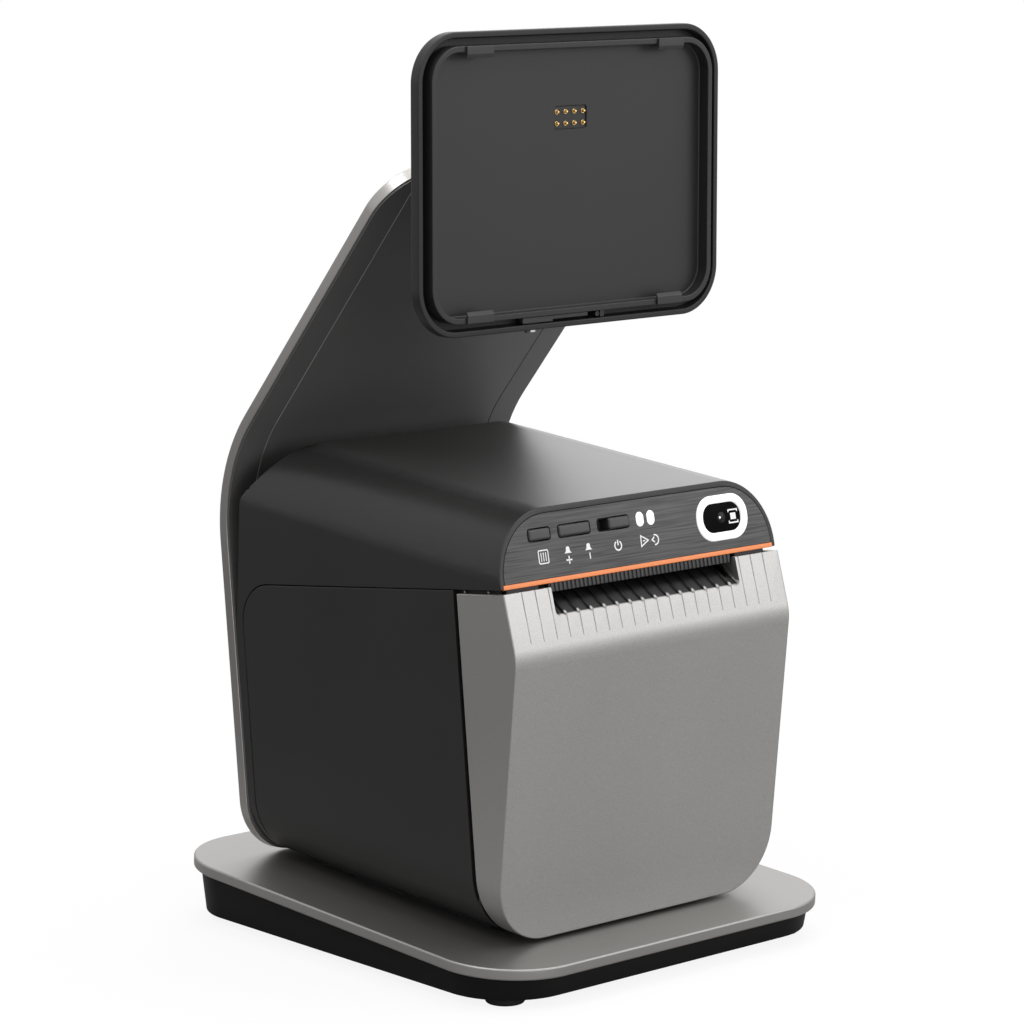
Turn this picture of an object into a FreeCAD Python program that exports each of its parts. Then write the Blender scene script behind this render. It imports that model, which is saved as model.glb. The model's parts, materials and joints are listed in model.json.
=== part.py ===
import FreeCAD, Part
import math
import os

V = FreeCAD.Vector
X_AXIS = V(1, 0, 0)

# Millimetres and degrees. Two frames are used. The table frame is the finished one: z = 0 is the table,
# +Z is up and the printer faces -Y. The deck frame lies on the middle of the base plate's top, which drops
# toward the front, and carries the arm, the printer and the cradle.

# Stand base
BASE_TILT = 3.0
PLATE_HALF_WIDTH = 83.25
PLATE_HALF_DEPTH = 92.9
PLATE_CORNER = 29.0
PLATE_THICKNESS = 4.0
PLATE_EDGE_CHAMFER = 0.6
SKIRT_INSET = 2.6
SKIRT_TAPER = 0.14
SKIRT_WALL = 2.5
SKIRT_FLOOR = 2.0
SKIRT_DEPTH_AT_MIDDLE = 16.5
FOOT_RADIUS = 6.75
FOOT_DROP = 2.7
FOOT_RECESS = 0.8
FOOT_SIDE_INSET = 17.25
FOOT_FRONT_INSET = 17.9
FOOT_REAR_INSET = 20.9
BASE_SCREW_SIDE_INSET = 21.25
BASE_SCREW_END_INSET = 40.9
BASE_SCREW_RADIUS = 1.5
BASE_SCREW_HEAD_RADIUS = 2.9
BASE_SCREW_HEAD_HEIGHT = 1.8
BASE_SCREW_RECESS = 1.2
BASE_BOSS_RADIUS = 4.2
SCREW_TIP_COVER = 0.8
BALLAST_SIDE_INSET = 29.25
BALLAST_FRONT_INSET = 16.9
BALLAST_REAR_INSET = 64.9
BALLAST_THICKNESS = 4.2

# Sockets in the rear of the base
IO_BOARD_HALF_WIDTH = 44.0
IO_BOARD_DEPTH = 19.0
IO_BOARD_REAR_INSET = 9.9
BOARD_THICKNESS = 1.6
SOCKET_DEPTH = 19.0
SOCKET_REAR_INSET = 4.9
LAN_X = -28.0
LAN_WIDTH = 16.0
LAN_HEIGHT = 10.2
LAN_MOUTH_WIDTH = 12.0
LAN_MOUTH_HEIGHT = 7.6
LAN_MOUTH_DEPTH = 12.0
USB_X = -3.0
USB_WIDTH = 14.4
USB_HEIGHT = 7.0
USB_SHEET = 0.8
USB_MOUTH_DEPTH = 11.0
USB_TONGUE_HEIGHT = 1.9
USB_TONGUE_WIDTH = 11.2
DC_X = 24.0
DC_WIDTH = 9.6
DC_HEIGHT = 10.0
DC_BORE_RADIUS = 3.3
DC_PIN_RADIUS = 1.1
DC_BORE_DEPTH = 10.0
SOCKET_CLEARANCE = 0.3
SOCKET_WINDOW_REACH = 6.0
SOCKET_TONGUE_SETBACK = 1.0

# Bent stand arm
ARM_SIDE_OVERHANG = 0.35
ARM_THICKNESS = 4.1
ARM_FOOT_INSET = 29.3
ARM_LEAN_BACK = 8.7
ARM_LEAN_FORWARD = 37.7
ARM_BEND_HEIGHT = 139.4
ARM_BEND_RADIUS = 58.3
ARM_BOTTOM_Z = 1.1
ARM_TOP_Z = 256.8
ARM_BOTTOM_CORNER = 20.0
ARM_TOP_CORNER = 20.0
SKIN_THICKNESS = 0.8
SKIN_INSET = 0.4
CABLE_COVER_SIDE_MARGIN = 11.85
CABLE_COVER_TOP_MARGIN = 4.5
CABLE_COVER_GAP = 0.3
TONGUE_HALF_WIDTH = 40.0
TONGUE_DROP = 12.0
BRACKET_HALF_WIDTH = 38.0
BRACKET_LENGTH = 17.0
BRACKET_THICKNESS = 3.0
BRACKET_SCREW_X = 25.0
BRACKET_SCREW_SETBACK = 10.5
M4_RADIUS = 2.0
M4_HEAD_RADIUS = 3.6
M4_HEAD_HEIGHT = 2.3
BODY_SCREW_X = 38.0
BODY_SCREW_LOW = 34.0
BODY_SCREW_HIGH = 98.0
BODY_BOSS_RADIUS = 4.5
BODY_BOSS_LENGTH = 4.2

# Printer body, a rounded tube cut by sloping planes
BODY_HALF_WIDTH = 65.0
BODY_WALL = 2.2
BODY_BOTTOM_Z = 1.2
BODY_BOTTOM_CORNER = 22.0
BODY_TOP_CORNER = 23.0
BODY_TOP_RISE = 0.022
FRONT_FOOT_Y = -69.5
FRONT_OVERHANG = 0.045
FRONT_WALL = 2.5
KINK_Z = 101.9
KINK_RADIUS = 17.0
CHAMFER_TOP_Y = -66.6
CHAMFER_TOP_Z = 123.2
FASCIA_FOOT_Y = -65.4
FASCIA_FOOT_Z = 124.2
FASCIA_LEAN = 14.9
FASCIA_HEIGHT = 25.6
FASCIA_WALL = 3.6
REAR_WALL = 3.0
REAR_STAND_BEHIND = 11.6
REAR_BEND_Z = 130.8
TOP_SEAM_Z = 112.8
TOP_SEAM_SLOPE = 0.1732
SIDE_SEAM_Y = -60.9
SIDE_SEAM_SLOPE = 0.1533
REAR_SEAM_AHEAD = 4.8
REAR_SEAM_SLOPE = 0.1475
REAR_SEAM_CORNER = 15.0
SHELL_SEAM_GAP = 0.4
COVER_SIDE_GAP = 0.9
COVER_TOP_GAP = 1.3
LIP_GAP = 0.4
LIP_THICKNESS = 1.6
LIP_DROP = 4.0
LIP_ROOT = 1.2
LIP_ARM_GAP = 15.6
LIP_SLOT_GAP = 2.8
CATCH_FRONT_Y = -58.0
CATCH_REAR_Y = -46.0
CATCH_RADIUS = 0.4
CATCH_DROP = 0.65
CATCH_LENGTH = 1.5
PAD_SIDE_INSET = 19.0
PAD_FRONT_Y = -46.0
PAD_ARM_GAP = 15.6

# Control fascia; v runs up the sloping face from its lower edge and w points out of it
FASCIA_MARGIN = 2.0
FASCIA_THICKNESS = 1.2
STRIP_HEIGHT = 1.6
STRIP_END_INSET = 1.4
STRIP_THICKNESS = 1.2
BUTTON_ROW_V = 16.7
BUTTON_HEIGHT = 4.6
BUTTON_CLEARANCE = 0.35
BUTTON_PROUD = 0.5
BUTTON_CORNER = 1.2
FLANGE_LIP = 0.9
FLANGE_THICKNESS = 1.0
FLANGE_GAP = 0.6
FEED_SIDE_INSET = 20.1
FEED_WIDTH = 10.4
ROCKER_PITCH = 16.0
ROCKER_WIDTH = 15.0
SWITCH_SLOT_PITCH = 18.2
SWITCH_SLOT_WIDTH = 15.0
SLIDER_WIDTH = 10.4
SLIDER_PROUD = 0.8
LED_FIRST_PITCH = 12.6
LED_PITCH = 5.1
LED_WIDTH = 3.6
LED_HEIGHT = 5.1
LED_DEPTH = 5.0
LED_END_FLAT = 0.02
SCANNER_SIDE_INSET = 24.1
SCANNER_V = 13.0
RING_WIDTH = 24.7
RING_HEIGHT = 15.9
RING_CORNER = 7.5
RING_PROUD = 0.4
WINDOW_WIDTH = 18.6
WINDOW_HEIGHT = 10.2
WINDOW_CORNER = 4.8
WINDOW_THICKNESS = 1.5
WINDOW_RECESS = 0.3
SCANNER_BODY_DEPTH = 7.5
SCANNER_CASE_SIDE_INSET = 1.0
SCANNER_CASE_END_INSET = 2.0
LENS_RADIUS = 2.4
LENS_LENGTH = 1.6
CONTROL_BOARD_W = 9.2
CONTROL_BOARD_SIDE_INSET = 9.0
CONTROL_BOARD_LOW_V = 5.0
CONTROL_BOARD_HIGH_V = 20.5
CONTROL_BOARD_SCANNER_GAP = 2.2
CONTROL_POST_LEFT_INSET = 3.0
CONTROL_POST_RIGHT_INSET = 11.0
CONTROL_POST_V = 8.0
CONTROL_POST_RADIUS = 2.0
CONTROL_POST_COVER = 0.2
TACT_WIDTH = 4.0
TACT_HEIGHT = 3.0
TACT_DEPTH = 1.4
TACT_PLUNGER_RADIUS = 0.8
TACT_PLUNGER_LENGTH = 0.7
ROCKER_TACT_OFFSET = 5.0

# Print mechanism
TEAR_BAR_SLOT_GAP = 0.6
TEAR_BAR_HEIGHT = 3.0
TEAR_BAR_SETBACK = 0.9
TEAR_BAR_THICKNESS = 2.2
TEAR_RIB_PITCH = 1.9
TEAR_RIB_WIDTH = 1.0
TEAR_RIB_DEPTH = 0.5
PLATEN_Y = -50.5
PLATEN_Z = 111.0
PLATEN_RADIUS = 7.0
PLATEN_SLOT_INSET = 1.6
PLATEN_SHAFT_RADIUS = 2.5
BUSH_OUTER_RADIUS = 3.6
RUNNING_CLEARANCE = 0.05
CARRIER_PLATEN_GAP = 3.8
CARRIER_THICKNESS = 3.0
CARRIER_BOSS_RADIUS = 5.2
CARRIER_LOW_Z = 80.0
CARRIER_HIGH_Z = 98.0
CARRIER_SLOPE = 53.0
TIE_SETBACK = 4.0
TIE_DEPTH = 8.0
TIE_DROP = 2.0
TIE_HEIGHT = 4.0
SHAFT_LEFT_END = 1.0
SHAFT_GEAR_END = 0.5
HEAD_ANGLE = 45.0
HEAD_PAPER_GAP = 0.3
HEAD_HALF_HEIGHT = 6.0
HEAD_PLATE_THICKNESS = 1.2
HEAD_PLATEN_OVERHANG = 2.0
HEAT_SINK_THICKNESS = 5.0
HEAT_SINK_OVERHANG = 1.5
FRAME_SIDE_INSET = 17.5
FRAME_SHEET = 1.5
FRAME_FRONT_Y = -43.5
FRAME_REAR_Y = -8.0
FRAME_LOW_Z = 88.0
FRAME_HIGH_Z = 127.0
FRAME_TOP_FRONT_Y = -32.0
FRAME_POST_INSET = 13.5
FRAME_POST_Y = -20.0
FRAME_POST_RADIUS = 4.0
GEAR_MODULE = 0.8
GEAR_FRAME_GAP = 1.0
GEAR_WIDTH = 4.0
TOOTH_ROOT = 1.25
TOOTH_TIP = 0.9
TOOTH_ROOT_SHARE = 0.29
TOOTH_TIP_SHARE = 0.10
PLATEN_TEETH = 20
IDLER_TEETH = 20
PINION_TEETH = 12
IDLER_DIRECTION = -20.0
PINION_DIRECTION = -30.0
GEAR_PIN_RADIUS = 1.5
GEAR_PIN_HEAD_RADIUS = 2.6
GEAR_PIN_HEAD_LENGTH = 0.8
GEAR_END_GAP = 0.4
MOTOR_RADIUS = 12.0
MOTOR_LENGTH = 21.0
MOTOR_SHAFT_HOLE_RADIUS = 2.0
MOTOR_END_GAP = 0.2
BIN_Y = 3.0
BIN_Z = 52.0
BIN_RADIUS = 42.0
BIN_WALL = 2.0
BIN_SIDE_INSET = 22.0
BIN_FOOT_HALF_DEPTH = 14.0
BIN_FRONT_Z = 30.0
MAIN_BOARD_MARGIN = 8.0

# Opening front cover
COVER_HINGE_Y = -64.5
COVER_HINGE_Z = 15.2
COVER_PIN_RADIUS = 1.5
COVER_LUG_RADIUS = 2.7
COVER_LUG_SIDE_INSET = 35.0
COVER_LUG_THICKNESS = 3.0
COVER_EAR_GAP = 0.4
COVER_EAR_THICKNESS = 4.0
COVER_EAR_RADIUS = 2.9
LUG_BAR_LOW_Z = 15.8
LUG_BAR_HIGH_Z = 23.0
LUG_NECK = 2.0
LUG_FOOT_FRONT_Y = -48.0
LUG_FOOT_REAR_Y = -36.0
LUG_FLANGE_WIDTH = 10.0
LUG_FLANGE_THICKNESS = 2.0
SWEEP_CLEARANCE = 0.35
SLOT_SIDE_INSET = 21.4
SLOT_LIP_Z = 113.6
SLOT_CORNER = 2.0
RAMP_RISE = 0.49
RAMP_REAR_Y = -58.6
RAMP_THICKNESS = 1.6
RAMP_TOE = 0.4
SLOT_SIDE_THICKNESS = 1.8
SLOT_SIDE_TOP_Z = 121.2
RIDGE_COUNT = 14
RIDGE_PITCH = 6.0
RIDGE_WIDTH = 0.8
RIDGE_HEIGHT = 0.9
RIDGE_BEVEL = 0.2
RIDGE_ROOT = 0.2
SCORE_COUNT = 20
SCORE_WIDTH = 0.4
SCORE_DEPTH = 0.3
SCORE_LOW_Z = 106.5

# Tablet cradle; v runs up its face from the middle and w points out of it
CRADLE_AHEAD = 17.3
CRADLE_RISE = 17.6
CRADLE_LEAN = 3.0
CRADLE_HALF_WIDTH = 70.0
CRADLE_HALF_HEIGHT = 51.2
CRADLE_CORNER = 17.0
CRADLE_RIM_DEPTH = 4.2
CRADLE_BACK_DEPTH = 11.9
CRADLE_BACK_HALF_WIDTH = 52.0
CRADLE_BACK_HALF_HEIGHT = 35.0
CRADLE_BACK_CORNER = 12.0
RIM_WIDTH = 2.1
GROOVE_WIDTH = 2.6
GROOVE_DEPTH = 4.2
TRAY_PROUD = 1.6
TRAY_LIP_WIDTH = 2.0
TRAY_FLOOR = 1.2
CLIP_X = 44.4
CLIP_WIDTH = 12.0
CLIP_PROUD = 0.8
CLIP_FACE = 2.8
CLIP_LEAD = 1.3
POGO_X = 1.4
POGO_V = 20.5
POGO_HALF_WIDTH = 7.5
POGO_HALF_HEIGHT = 3.9
POGO_FACE_DROP = 0.5
POGO_BLOCK_DEPTH = 5.6
POGO_PITCH_X = 4.07
POGO_PITCH_V = 4.0
POGO_COLUMNS = 4
POGO_PIN_RADIUS = 0.45
POGO_PIN_LENGTH = 4.6
POGO_PIN_PROUD = 1.2
LATCH_LEFT_X = -23.0
LATCH_RIGHT_X = 7.4
LATCH_GROOVE_GAP = 0.2
LATCH_SLIT_LEFT_X = -8.9
LATCH_SLIT_HEIGHT = 0.7
LATCH_BACK_W = 2.8
LATCH_FRONT_W = 0.4
LATCH_TRAVEL = 3.0
LATCH_TAB_LEFT_X = -20.7
LATCH_TAB_WIDTH = 3.9
LATCH_TAB_PROUD = 0.9
LATCH_TAB_BACK_W = 2.3
LATCH_TAB_FRONT_W = 1.0
LATCH_PEG_X = 11.8
LATCH_PEG_RADIUS = 0.9
LATCH_STOP_LEFT_X = 13.2
LATCH_STOP_WIDTH = 1.8
TILT_TOP_SETBACK = 16.334
TILT_AXIS_REACH = 12.07
TILT_PIN_RADIUS = 3.0
TILT_KNUCKLE_RADIUS = 6.0
TILT_KNUCKLE_HALF_LENGTH = 19.8
TILT_LUG_GAP = 0.4
TILT_LUG_THICKNESS = 6.0
TILT_BASE_HALF_WIDTH = 33.0
TILT_BASE_HALF_LENGTH = 9.0
TILT_BASE_THICKNESS = 3.0
TILT_SCREW_X = 29.8
TILT_SCREW_SPAN = 5.0
TILT_SCREW_RADIUS = 1.25
TILT_SCREW_HEAD_RADIUS = 2.4
TILT_SCREW_HEAD_HEIGHT = 1.6
TILT_SCREW_LENGTH = 5.4

# Places that follow from the sizes above
FOOT_X = PLATE_HALF_WIDTH - FOOT_SIDE_INSET
FOOT_FRONT_Y = -PLATE_HALF_DEPTH + FOOT_FRONT_INSET
FOOT_REAR_Y = PLATE_HALF_DEPTH - FOOT_REAR_INSET
BASE_SCREW_X = PLATE_HALF_WIDTH - BASE_SCREW_SIDE_INSET
BASE_SCREW_Y = PLATE_HALF_DEPTH - BASE_SCREW_END_INSET
BALLAST_HALF_WIDTH = PLATE_HALF_WIDTH - BALLAST_SIDE_INSET
BALLAST_FRONT_Y = -PLATE_HALF_DEPTH + BALLAST_FRONT_INSET
BALLAST_REAR_Y = PLATE_HALF_DEPTH - BALLAST_REAR_INSET
IO_BOARD_REAR_Y = PLATE_HALF_DEPTH - IO_BOARD_REAR_INSET
IO_BOARD_FRONT_Y = IO_BOARD_REAR_Y - IO_BOARD_DEPTH
SOCKET_REAR_Y = PLATE_HALF_DEPTH - SOCKET_REAR_INSET
SOCKET_FRONT_Y = SOCKET_REAR_Y - SOCKET_DEPTH
ARM_FOOT_Y = PLATE_HALF_DEPTH - ARM_FOOT_INSET
REAR_SEAM_Y = ARM_FOOT_Y - REAR_SEAM_AHEAD
LIP_REAR_Y = ARM_FOOT_Y - LIP_ARM_GAP
REAR_STAND_Y = ARM_FOOT_Y + REAR_STAND_BEHIND
PAD_REAR_Y = ARM_FOOT_Y - PAD_ARM_GAP
ARM_HALF_WIDTH = BODY_HALF_WIDTH + ARM_SIDE_OVERHANG
CABLE_COVER_HALF_WIDTH = ARM_HALF_WIDTH - CABLE_COVER_SIDE_MARGIN
PAD_HALF_WIDTH = BODY_HALF_WIDTH - PAD_SIDE_INSET
STRIP_HALF_WIDTH = BODY_HALF_WIDTH - STRIP_END_INSET
FEED_X = -BODY_HALF_WIDTH + FEED_SIDE_INSET
ROCKER_X = FEED_X + ROCKER_PITCH
SWITCH_SLOT_X = ROCKER_X + SWITCH_SLOT_PITCH
LED_FIRST_X = SWITCH_SLOT_X + LED_FIRST_PITCH
SCANNER_X = BODY_HALF_WIDTH - SCANNER_SIDE_INSET
CONTROL_BOARD_LEFT_X = -BODY_HALF_WIDTH + CONTROL_BOARD_SIDE_INSET
CONTROL_BOARD_RIGHT_X = SCANNER_X - RING_WIDTH / 2 - CONTROL_BOARD_SCANNER_GAP
CONTROL_POST_LEFT_X = CONTROL_BOARD_LEFT_X + CONTROL_POST_LEFT_INSET
CONTROL_POST_RIGHT_X = CONTROL_BOARD_RIGHT_X - CONTROL_POST_RIGHT_INSET
SLOT_HALF_WIDTH = BODY_HALF_WIDTH - SLOT_SIDE_INSET
LIP_FRONT_X = SLOT_HALF_WIDTH + LIP_SLOT_GAP
TEAR_BAR_HALF_WIDTH = SLOT_HALF_WIDTH - TEAR_BAR_SLOT_GAP
PLATEN_HALF_LENGTH = SLOT_HALF_WIDTH - PLATEN_SLOT_INSET
CARRIER_INNER_X = PLATEN_HALF_LENGTH + CARRIER_PLATEN_GAP
HEAD_HALF_WIDTH = PLATEN_HALF_LENGTH + HEAD_PLATEN_OVERHANG
FRAME_INNER_X = BODY_HALF_WIDTH - FRAME_SIDE_INSET
FRAME_POST_X = FRAME_INNER_X - FRAME_POST_INSET
GEAR_LEFT_X = FRAME_INNER_X + FRAME_SHEET + GEAR_FRAME_GAP
BIN_HALF_WIDTH = BODY_HALF_WIDTH - BIN_SIDE_INSET
COVER_LUG_X = BODY_HALF_WIDTH - COVER_LUG_SIDE_INSET
TRAY_FLOOR_W = -GROOVE_DEPTH + TRAY_FLOOR
POGO_FACE_W = TRAY_FLOOR_W - POGO_FACE_DROP
POGO_BACK_W = POGO_FACE_W - POGO_BLOCK_DEPTH

# Reaches for cutting shapes, and tolerances
FAR = 400.0
LOW_CUT_Z = -10.0
CUT_MARGIN = 1.0
SWEEP_STEPS = 12
TINY = 1e-6


# Small shape helpers
def box(x0, x1, y0, y1, z0, z1):
    return Part.makeBox(x1 - x0, y1 - y0, z1 - z0, V(x0, y0, z0))


def rod_x(x0, x1, y, z, radius):
    return Part.makeCylinder(radius, x1 - x0, V(x0, y, z), X_AXIS)


def rod_w(x, y, w0, w1, radius):
    return Part.makeCylinder(radius, w1 - w0, V(x, y, w0), V(0, 0, 1))


def side_prism(points, x0, x1):
    """Extrudes a closed outline of (y, z) points from x0 to x1."""
    corners = [V(x0, y, z) for y, z in points]
    face = Part.Face(Part.makePolygon(corners + corners[:1]))
    return face.extrude(V(x1 - x0, 0, 0))


def rounded_wire(half_u, half_v, radius, w=0.0):
    """Rounded rectangle in the local XY plane, as four lines and four arcs."""
    edges = []
    quarter = math.radians(90)
    centres = [(1, 1), (-1, 1), (-1, -1), (1, -1)]
    starts = []
    for turn, (su, sv) in enumerate(centres):
        middle = V(su * (half_u - radius), sv * (half_v - radius), w)
        angles = [turn * quarter, (turn + 0.5) * quarter, (turn + 1) * quarter]
        starts.append([middle + V(radius * math.cos(a), radius * math.sin(a), 0) for a in angles])
    for turn, (first, between, last) in enumerate(starts):
        edges.append(Part.Arc(first, between, last).toShape())
        edges.append(Part.makeLine(last, starts[(turn + 1) % 4][0]))
    return Part.Wire(edges)


def rounded_prism(half_u, half_v, radius, w0, w1):
    return Part.Face(rounded_wire(half_u, half_v, radius, w0)).extrude(V(0, 0, w1 - w0))


def rounded_pocket(u, v, width, height, radius, w0, w1):
    return moved(rounded_prism(width / 2, height / 2, radius, w0, w1), V(u, v, 0))


def moved(shape, offset):
    copy = shape.copy()
    copy.translate(offset)
    return copy


def placed(shape, placement):
    copy = shape.copy()
    copy.Placement = placement.multiply(copy.Placement)
    return copy


def mirrored(shape):
    return shape.mirror(V(0, 0, 0), X_AXIS)


def pair(shape):
    """The shape and its mirror image, as two separate solids."""
    return Part.makeCompound([shape, mirrored(shape)])


def leaning(y, z, lean):
    """Placement of a face that leans back: local Y runs up the face and local Z points out of its front."""
    return FreeCAD.Placement(V(0, y, z), FreeCAD.Rotation(X_AXIS, 90 - lean))


def slope_y(foot, slope, z):
    return foot + slope * z


def top_seam(y):
    return TOP_SEAM_Z - TOP_SEAM_SLOPE * y


def side_seam(z):
    return slope_y(SIDE_SEAM_Y, SIDE_SEAM_SLOPE, z)


def rear_seam(z):
    return slope_y(REAR_SEAM_Y, REAR_SEAM_SLOPE, z)


def front_face(z):
    return slope_y(FRONT_FOOT_Y, -FRONT_OVERHANG, z)


CHAMFER_SLOPE = (CHAMFER_TOP_Y - front_face(KINK_Z)) / (CHAMFER_TOP_Z - KINK_Z)


def chamfer_face(z):
    return CHAMFER_TOP_Y + CHAMFER_SLOPE * (z - CHAMFER_TOP_Z)


TILT = math.radians(BASE_TILT)
DECK_LIFT = FOOT_DROP + SKIRT_DEPTH_AT_MIDDLE * math.cos(TILT)
DECK_SHIFT = -PLATE_THICKNESS * math.sin(TILT) / 2
TABLE = FreeCAD.Placement()
DECK = FreeCAD.Placement(V(0, DECK_SHIFT, DECK_LIFT), FreeCAD.Rotation(X_AXIS, BASE_TILT))
FASCIA = leaning(FASCIA_FOOT_Y, FASCIA_FOOT_Z, FASCIA_LEAN)
ARM_LOW = leaning(ARM_FOOT_Y, 0, ARM_LEAN_BACK)
NODES = {}


def add(name, shape, frame=DECK):
    NODES[name] = placed(shape, frame)


# Bent arm profile: two straight runs joined by an arc, offset forward or back from the arm's front face
LEAN_BACK = math.radians(ARM_LEAN_BACK)
LEAN_FORWARD = math.radians(ARM_LEAN_FORWARD)
LOW_UP = V(0, math.sin(LEAN_BACK), math.cos(LEAN_BACK))
LOW_OUT = V(0, -math.cos(LEAN_BACK), math.sin(LEAN_BACK))
HIGH_UP = V(0, -math.sin(LEAN_FORWARD), math.cos(LEAN_FORWARD))
HIGH_OUT = V(0, -math.cos(LEAN_FORWARD), -math.sin(LEAN_FORWARD))
BEND_POINT = V(0, ARM_FOOT_Y + ARM_BEND_HEIGHT * math.tan(LEAN_BACK), ARM_BEND_HEIGHT)
BEND_TANGENT = ARM_BEND_RADIUS * math.tan((LEAN_BACK + LEAN_FORWARD) / 2)
BEND_CENTRE = BEND_POINT - LOW_UP * BEND_TANGENT + LOW_OUT * ARM_BEND_RADIUS
LOW_LENGTH = (ARM_BEND_HEIGHT - ARM_BOTTOM_Z) / math.cos(LEAN_BACK) - BEND_TANGENT
HIGH_LENGTH = (ARM_TOP_Z - ARM_BEND_HEIGHT) / math.cos(LEAN_FORWARD) - BEND_TANGENT
SKIN_TOP = BEND_CENTRE - HIGH_OUT * (ARM_BEND_RADIUS - SKIN_THICKNESS) + HIGH_UP * HIGH_LENGTH
TILT_FOOT = SKIN_TOP - HIGH_UP * TILT_TOP_SETBACK
TILT_AXIS = TILT_FOOT + HIGH_OUT * TILT_AXIS_REACH
CRADLE = leaning(TILT_AXIS.y - CRADLE_AHEAD, TILT_AXIS.z + CRADLE_RISE, CRADLE_LEAN)


def arm_band(back, front, half_width, low_trim=0.0, high_trim=0.0):
    """Solid between two offsets of the arm's front face; positive offsets lie in front of it."""
    middle_out = (LOW_OUT + HIGH_OUT).normalize()
    edges = []
    ends = []
    for offset in (back, front):
        radius = ARM_BEND_RADIUS - offset
        low = BEND_CENTRE - LOW_OUT * radius
        high = BEND_CENTRE - HIGH_OUT * radius
        start = low - LOW_UP * (LOW_LENGTH - low_trim)
        finish = high + HIGH_UP * (HIGH_LENGTH - high_trim)
        edges.append(Part.makeLine(start, low))
        edges.append(Part.Arc(low, BEND_CENTRE - middle_out * radius, high).toShape())
        edges.append(Part.makeLine(high, finish))
        ends.append((start, finish))
    edges.append(Part.makeLine(ends[0][0], ends[1][0]))
    edges.append(Part.makeLine(ends[0][1], ends[1][1]))
    face = Part.Face(Part.Wire(Part.__sortEdges__(edges)))
    return moved(face.extrude(V(2 * half_width, 0, 0)), V(-half_width, 0, 0))


def round_ends(shape, low_corner, high_corner):
    """Rounds the four corners of a bent plate, seen from its front."""
    def across(solid):
        return [edge for edge in solid.Edges if edge.Length < ARM_THICKNESS + TINY
                and abs(edge.Vertexes[0].X - edge.Vertexes[-1].X) < TINY]

    low = [edge for edge in across(shape) if edge.CenterOfMass.z < ARM_BEND_HEIGHT]
    rounded = shape.makeFillet(low_corner, low)
    high = [edge for edge in across(rounded) if edge.CenterOfMass.z > ARM_BEND_HEIGHT]
    return rounded.makeFillet(high_corner, high)


# Stand base
def on_skirt_bottom(y):
    """Deck-frame height of the skirt's underside."""
    return -SKIRT_DEPTH_AT_MIDDLE - y * math.tan(TILT)


def skirt_loft(inset, depth):
    top_inset = SKIRT_INSET + inset
    low_inset = top_inset + depth * SKIRT_TAPER
    wires = []
    for total, z in ((top_inset, -PLATE_THICKNESS), (low_inset, -PLATE_THICKNESS - depth)):
        half_x = PLATE_HALF_WIDTH - total
        half_y = PLATE_HALF_DEPTH - total
        wires.append(rounded_wire(half_x, half_y, PLATE_CORNER - total, z))
    return placed(Part.makeLoft(wires, True, True), DECK)


def base_screw_points():
    return [(sx * BASE_SCREW_X, sy * BASE_SCREW_Y) for sx in (-1, 1) for sy in (-1, 1)]


def base_screw(x, y, clearance=0.0):
    seat = on_skirt_bottom(y) + BASE_SCREW_RECESS + BASE_SCREW_HEAD_HEIGHT
    shank = rod_w(x, y, seat, -SCREW_TIP_COVER, BASE_SCREW_RADIUS)
    head = rod_w(x, y, seat - BASE_SCREW_HEAD_HEIGHT, seat, BASE_SCREW_HEAD_RADIUS + clearance)
    return shank.fuse(head).removeSplitter()


def bracket_screw(sign):
    y = bracket_front() + BRACKET_LENGTH - BRACKET_SCREW_SETBACK
    seat = -PLATE_THICKNESS - BRACKET_THICKNESS
    shank = rod_w(sign * BRACKET_SCREW_X, y, seat, -SCREW_TIP_COVER, M4_RADIUS)
    head = rod_w(sign * BRACKET_SCREW_X, y, seat - M4_HEAD_HEIGHT, seat, M4_HEAD_RADIUS)
    return shank.fuse(head).removeSplitter()


def tongue_front(z):
    return ARM_FOOT_Y + z * math.tan(LEAN_BACK)


def bracket_front():
    return tongue_front(-PLATE_THICKNESS) - BRACKET_LENGTH


def tongue(margin=0.0):
    reach = (ARM_BOTTOM_Z + TONGUE_DROP) / math.cos(LEAN_BACK)
    start = ARM_BOTTOM_Z / math.cos(LEAN_BACK)
    half = TONGUE_HALF_WIDTH + margin
    blade = box(-half, half, start - reach, start, -ARM_THICKNESS - margin, margin)
    return placed(blade, ARM_LOW)


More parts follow.
